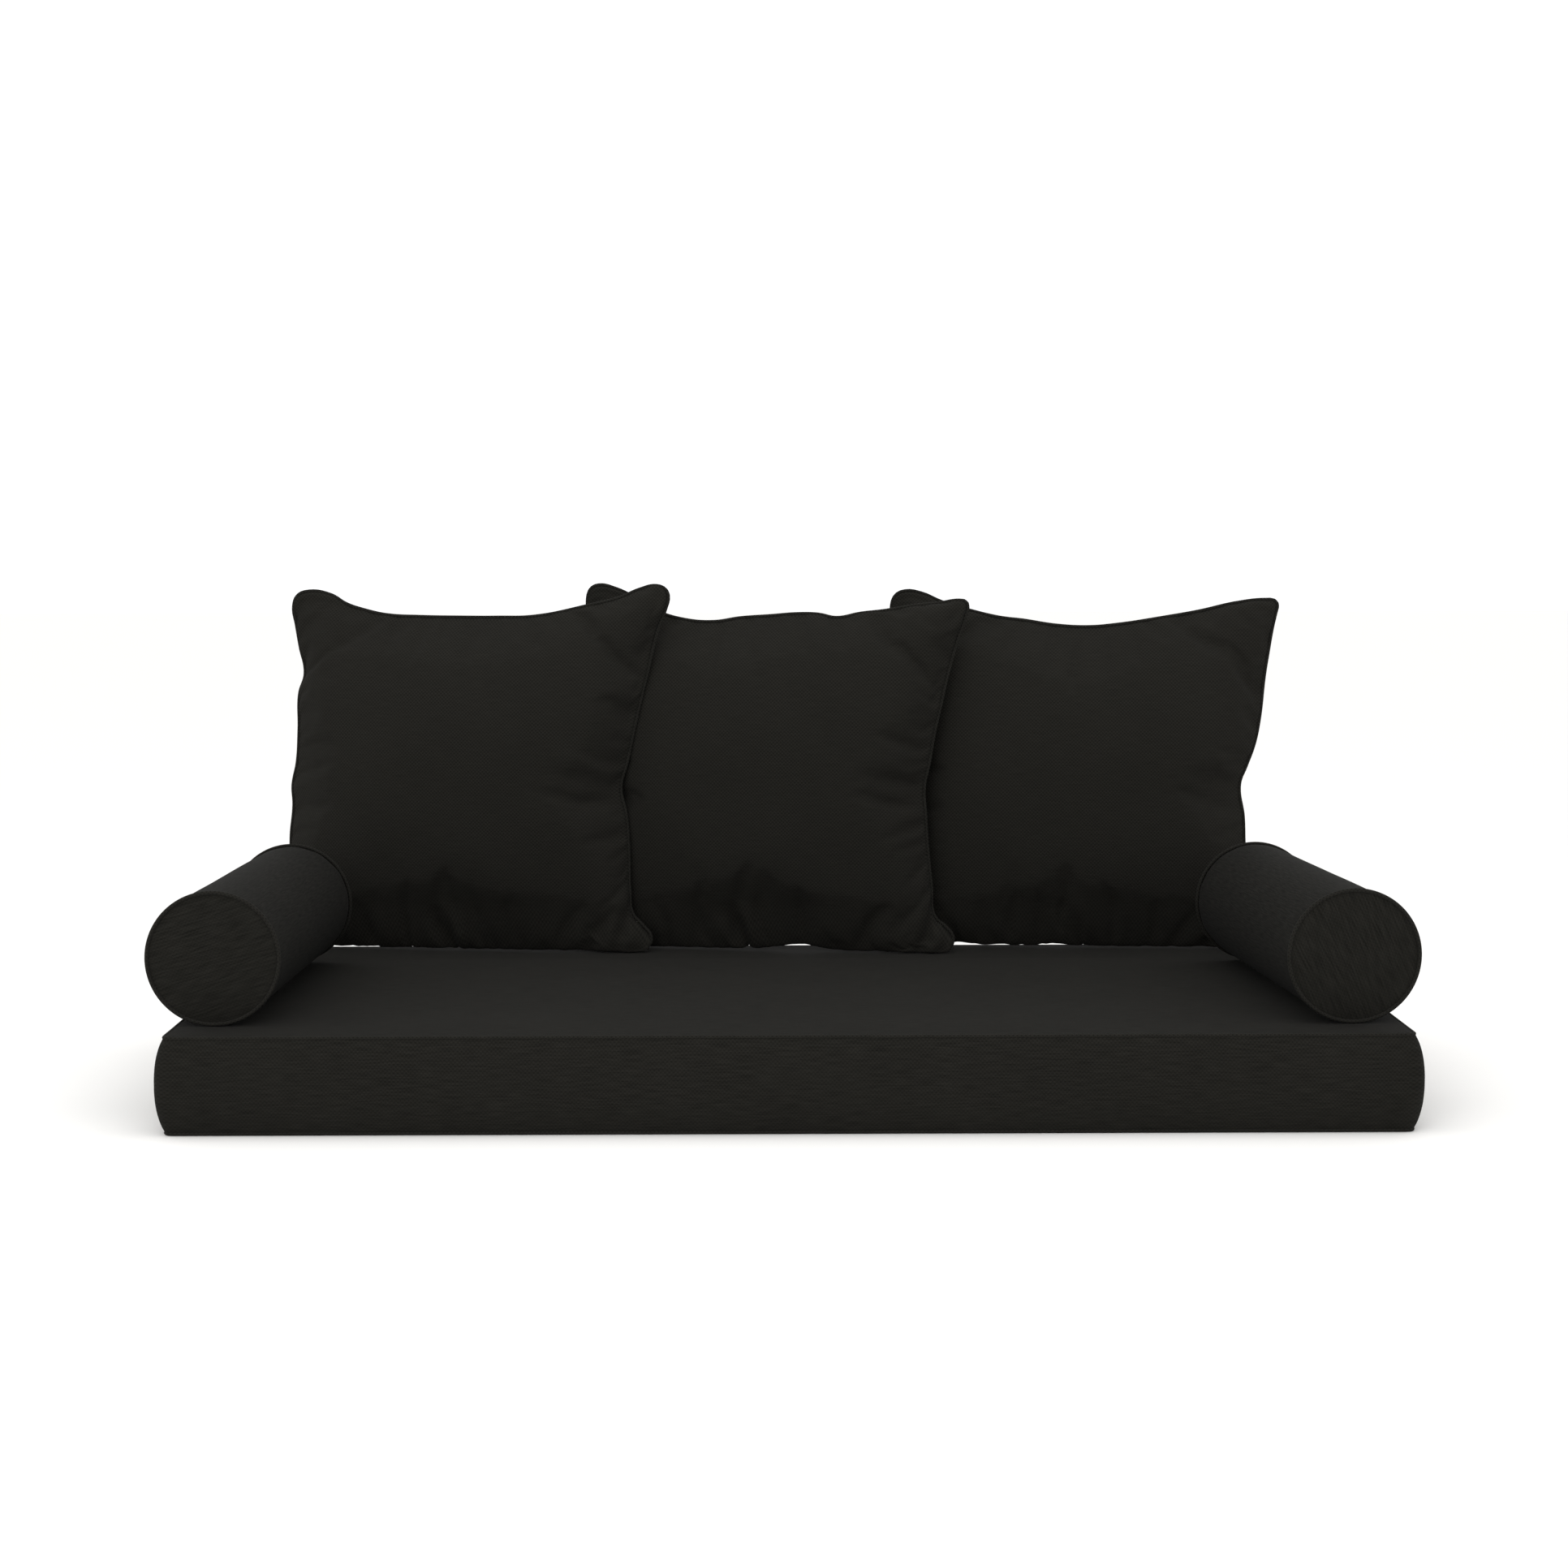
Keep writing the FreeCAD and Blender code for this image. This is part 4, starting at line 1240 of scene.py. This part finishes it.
def make_bolster(name, settings):
    carrier = name + "_bolster"
    front, rear = centre_of(carrier + "_front_welt"), centre_of(carrier + "_rear_welt")
    along = (rear - front).normalized()
    place = Matrix.Translation((front + rear) / 2) @ Matrix.Rotation(math.atan2(-along.x, along.y), 4, "Z")
    low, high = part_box(carrier + "_front_welt")
    cord = CORD_RADIUS
    ring_radius = (high.z - low.z) / 2 - cord
    half_length = (rear - front).length / 2
    tube_low, tube_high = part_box(carrier + "_tube_cover")
    tube_radius = (tube_high.z - tube_low.z) / 2
    outward = -1 if name == "left" else 1
    zip_from = place.inverted() @ centre_of(carrier + "_zip")
    slot_angle = math.atan2(zip_from.z, zip_from.x)
    zip_span = extent(carrier + "_zip", along)
    slot_half = (zip_span[1] - zip_span[0]) / 2 + 1 * MM
    tube_half = half_length - 1.5 * MM
    tube = tube_mesh(tube_radius, tube_half, settings, slot_angle, slot_half, 7.0 + outward)
    tube.transform(place)
    replaced = [carrier + part for part in ("_tube_cover", "_front_disc", "_rear_disc")]
    # Painted shade: the tube cloth is painted darker all over than the same canvas on its ends.
    cloth = canvas("acrylic_canvas_basket_weave_round_grain_painted_shade", math.pi / 2, weave_share=0.25, painted_light_shift=-0.14)
    cover = to_piece(carrier + "_cover", tube, [cloth], carrier, replaced)
    subdivide(cover)
    grain = {"left": math.radians(-18), "right": math.radians(65)}[name]
    for end, side in (("front", -1), ("rear", 1)):
        disc = disc_mesh(ring_radius - 2.2 * MM, side, settings, 3.0 + side)
        disc.transform(place @ Matrix.Translation((0, side * (half_length - 1.0 * MM), 0)))
        piece = to_piece(
            "%s_%s_end" % (carrier, end),
            disc,
            [canvas("acrylic_canvas_basket_weave_%s_end" % name, grain, 0.25)],
            carrier,
        )
        subdivide(piece)
        count = 150
        ring = []
        for k in range(count):
            angle = 2 * math.pi * k / count
            across, up = ring_radius * math.cos(angle), ring_radius * math.sin(angle)
            ring.append(place @ Vector((across, side * half_length, up)))
        piping("%s_%s_piping" % (carrier, end), ring, cord, carrier, ["%s_%s_welt" % (carrier, end)])


# ---------------------------------------------------------------- zips


class ZipFrame:
    """Where a closed zip lies: along it, across it and out of the cover."""

    def __init__(self, carrier, chain_node):
        swing = JOINTS["swing_%s_zip_pull" % carrier]
        self.along = Vector(JOINTS["slide_%s_zip" % carrier]["axis"]).normalized()
        self.across = -Vector(swing["axis"]).normalized()
        self.outward = self.along.cross(self.across)
        low, high = extent(chain_node, self.along)
        self.half_length = (high - low) / 2
        pivot = Vector(swing["pos_m"])
        level = pivot.dot(self.outward) - 4.2 * MM
        self.origin = (
            self.along * ((low + high) / 2)
            + self.across * pivot.dot(self.across)
            + self.outward * level
        )

    def matrix(self):
        rotation = Matrix((self.along, self.across, self.outward)).transposed().to_4x4()
        return Matrix.Translation(self.origin) @ rotation


def box_part(bm, low, high):
    size = Vector(high) - Vector(low)
    centre = (Vector(high) + Vector(low)) / 2
    matrix = Matrix.Translation(centre) @ Matrix.Diagonal((*size, 1))
    return bmesh.ops.create_cube(bm, size=1, matrix=matrix)["verts"]


def tape_mesh(half_length, settings):
    """Two tapes with the fold of the coil's sewing along their inner edges."""
    bm = bmesh.new()
    inner = 2.8 * MM
    half_thickness = 0.4 * MM
    for side in (-1, 1):
        near, far = sorted((side * inner, side * (inner + settings.tape_width)))
        box_part(bm, (-half_length, near, -half_thickness), (half_length, far, half_thickness))
    cut_rows(bm, 0, evenly(-half_length, half_length, 40 * MM)[1:-1])
    edges = [e for e in bm.edges if e.is_manifold and e.calc_face_angle() > 1]
    bmesh.ops.bevel(
        bm, geom=edges, offset=0.15 * MM, segments=1, profile=0.5, affect="EDGES", material=-1
    )
    uv = bm.loops.layers.uv.new(CLOTH_UV)
    for face in bm.faces:
        for loop in face.loops:
            loop[uv].uv = loop.vert.co.xy
    return bm


def teeth_mesh(half_length, settings):
    """The two rows of a coil: a small rounded loop for each tooth, set alternately."""
    first = bmesh.new()
    bmesh.ops.create_uvsphere(first, u_segments=6, v_segments=4, radius=1)
    for vertex in first.verts:
        vertex.co = (vertex.co.x * 0.78 * MM, vertex.co.y * 1.35 * MM, vertex.co.z * 1.0 * MM)
    tooth = bpy.data.meshes.new("tooth")
    first.to_mesh(tooth)
    first.free()
    pitch = settings.tooth_pitch
    count = int((2 * half_length - 2 * MM) / pitch)
    whole = bmesh.new()
    for row, shift in ((-1, 0.0), (1, pitch / 2)):
        for k in range(count):
            before = len(whole.verts)
            whole.from_mesh(tooth)
            whole.verts.ensure_lookup_table()
            place = Vector((-half_length + 1.5 * MM + shift + k * pitch, row * 1.35 * MM, 0))
            for vertex in whole.verts[before:]:
                vertex.co += place
    bpy.data.meshes.remove(tooth)
    return whole


def make_zip(carrier, settings):
    on_mattress = carrier == "mattress"
    chain_node = "mattress_zip_coil" if on_mattress else carrier + "_zip"
    stand = ZipFrame(carrier, chain_node)
    tape_half = stand.half_length
    chain_half = stand.half_length - (0 if on_mattress else 3 * MM)
    if on_mattress:
        low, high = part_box("mattress_zip_tape")
        tape_half = (high.x - low.x) / 2
    tapes = tape_mesh(tape_half, settings)
    tapes.transform(stand.matrix())
    teeth = teeth_mesh(chain_half, settings)
    teeth.transform(stand.matrix())
    tape_node = "mattress_zip_tape" if on_mattress else chain_node
    to_piece(
        carrier + "_zip_tapes", tapes, [zip_tape()], carrier, [tape_node], smooth=False
    )
    to_piece(carrier + "_zip_teeth", teeth, [nylon_coil()], carrier, [chain_node])


class DAYBED_OT_zips(bpy.types.Operator):
    """Make the tapes and teeth of every zip, and enamel the sliders, stops and pulls"""

    bl_idname = "daybed.zips"
    bl_label = "Zips"

    def execute(self, context):
        settings = context.scene.daybed_zip
        carriers = ["mattress"] + [n + "_pillow" for n in PILLOWS] + [n + "_bolster" for n in BOLSTERS]
        for carrier in carriers:
            make_zip(carrier, settings)
        metal = [n for n in NODES if n.endswith(("_zip_slider", "_zip_pull", "_zip_stops"))]
        dress(metal, enamelled_zinc())
        return {"FINISHED"}


# ---------------------------------------------------------------- fillings


def dress(nodes, material):
    """Gives CAD nodes whose shape is right their material."""
    for node in nodes:
        mesh = NODES[node].data
        mesh.materials.clear()
        mesh.materials.append(material)


class DAYBED_OT_fillings(bpy.types.Operator):
    """Give the foam and wadding inside the covers their materials"""

    bl_idname = "daybed.fillings"
    bl_label = "Fillings"

    def execute(self, context):
        dress([n for n in NODES if n.endswith("_foam_core")], polyurethane_foam())
        dress([n for n in NODES if "_batting_" in n], polyester_wadding())
        return {"FINISHED"}


# ---------------------------------------------------------------- stage


CAMERA_PLACE = (-0.046, -4.940, 0.9068)
CAMERA_TURN = -0.478
CAMERA_LOOK_DOWN = 4.801
CAMERA_ROLL = -0.097


def area_light(name, energy, size, place, target):
    data = bpy.data.lights.new(name, "AREA")
    data.energy = energy
    data.shape = "DISK"
    data.size = size
    light = bpy.data.objects.new(name, data)
    bpy.context.scene.collection.objects.link(light)
    light.location = place
    light.rotation_euler = (Vector(target) - Vector(place)).to_track_quat("-Z", "Y").to_euler()
    return light


class DAYBED_OT_stage(bpy.types.Operator):
    """Make the camera, the soft light and the pale floor"""

    bl_idname = "daybed.stage"
    bl_label = "Stage"

    def execute(self, context):
        scene = context.scene
        settings = scene.daybed_stage
        data = bpy.data.cameras.new("camera")
        data.sensor_width = 36
        data.lens = settings.lens
        camera = bpy.data.objects.new("camera", data)
        scene.collection.objects.link(camera)
        camera.location = CAMERA_PLACE
        turn = Matrix.Rotation(math.radians(CAMERA_TURN), 3, "Z")
        tilt = Matrix.Rotation(math.radians(90 - CAMERA_LOOK_DOWN), 3, "X")
        roll = Matrix.Rotation(math.radians(CAMERA_ROLL), 3, "Z")
        camera.rotation_euler = (turn @ tilt @ roll).to_euler()
        scene.camera = camera

        bm = bmesh.new()
        bmesh.ops.create_grid(bm, x_segments=1, y_segments=1, size=30)
        mesh = bpy.data.meshes.new("floor")
        bm.to_mesh(mesh)
        bm.free()
        mesh.transform(Matrix.Translation((0, 0, -0.5 * MM)))
        floor = bpy.data.objects.new("floor", mesh)
        scene.collection.objects.link(floor)
        material, _, _ = new_material(
            "painted_floor_matt", 0.9, settings.floor_colour[:], Specular_IOR_Level=0.1
        )
        mesh.materials.append(material)

        world = bpy.data.worlds.new("studio")
        scene.world = world
        world.use_nodes = True
        background = world.node_tree.nodes["Background"]
        background.inputs["Color"].default_value = settings.world_colour[:]
        background.inputs["Strength"].default_value = 1.12
        area_light("overhead_softbox", 25, 3.6, (0, -0.6, 3.4), (0, 0, 0.2))
        area_light("front_softbox", 70, 3.0, (-1.0, -5.2, 2.2), (0, 0, 0.4))
        scene.view_settings.view_transform = "Standard"
        return {"FINISHED"}


# ---------------------------------------------------------------- add-on

OPERATORS = (
    DAYBED_OT_stage,
    DAYBED_OT_mattress,
    DAYBED_OT_pillows,
    DAYBED_OT_bolsters,
    DAYBED_OT_zips,
    DAYBED_OT_fillings,
)


class DAYBED_PT_set(bpy.types.Panel):
    """Lists the pieces of the daybed set"""

    bl_idname = "DAYBED_PT_set"
    bl_label = "Daybed Set"
    bl_space_type = "VIEW_3D"
    bl_region_type = "UI"
    bl_category = "Daybed"

    def draw(self, context):
        for operator in OPERATORS:
            self.layout.operator(operator.bl_idname)
        for attribute in SETTINGS:
            group = getattr(context.scene, attribute)
            box = self.layout.box()
            for name in group.bl_rna.properties.keys():
                if name not in ("name", "rna_type"):
                    box.prop(group, name)


CLASSES = (*SETTINGS.values(), *OPERATORS, DAYBED_PT_set)


def register():
    for item in CLASSES:
        bpy.utils.register_class(item)
    for attribute, group in SETTINGS.items():
        setattr(bpy.types.Scene, attribute, bpy.props.PointerProperty(type=group))


def unregister():
    for attribute in SETTINGS:
        delattr(bpy.types.Scene, attribute)
    for item in reversed(CLASSES):
        bpy.utils.unregister_class(item)


def main():
    register()
    bpy.ops.daybed.stage()
    bpy.ops.daybed.mattress()
    bpy.ops.daybed.pillows()
    bpy.ops.daybed.bolsters()
    bpy.ops.daybed.zips()
    bpy.ops.daybed.fillings()


if __name__ == "__main__":
    main()
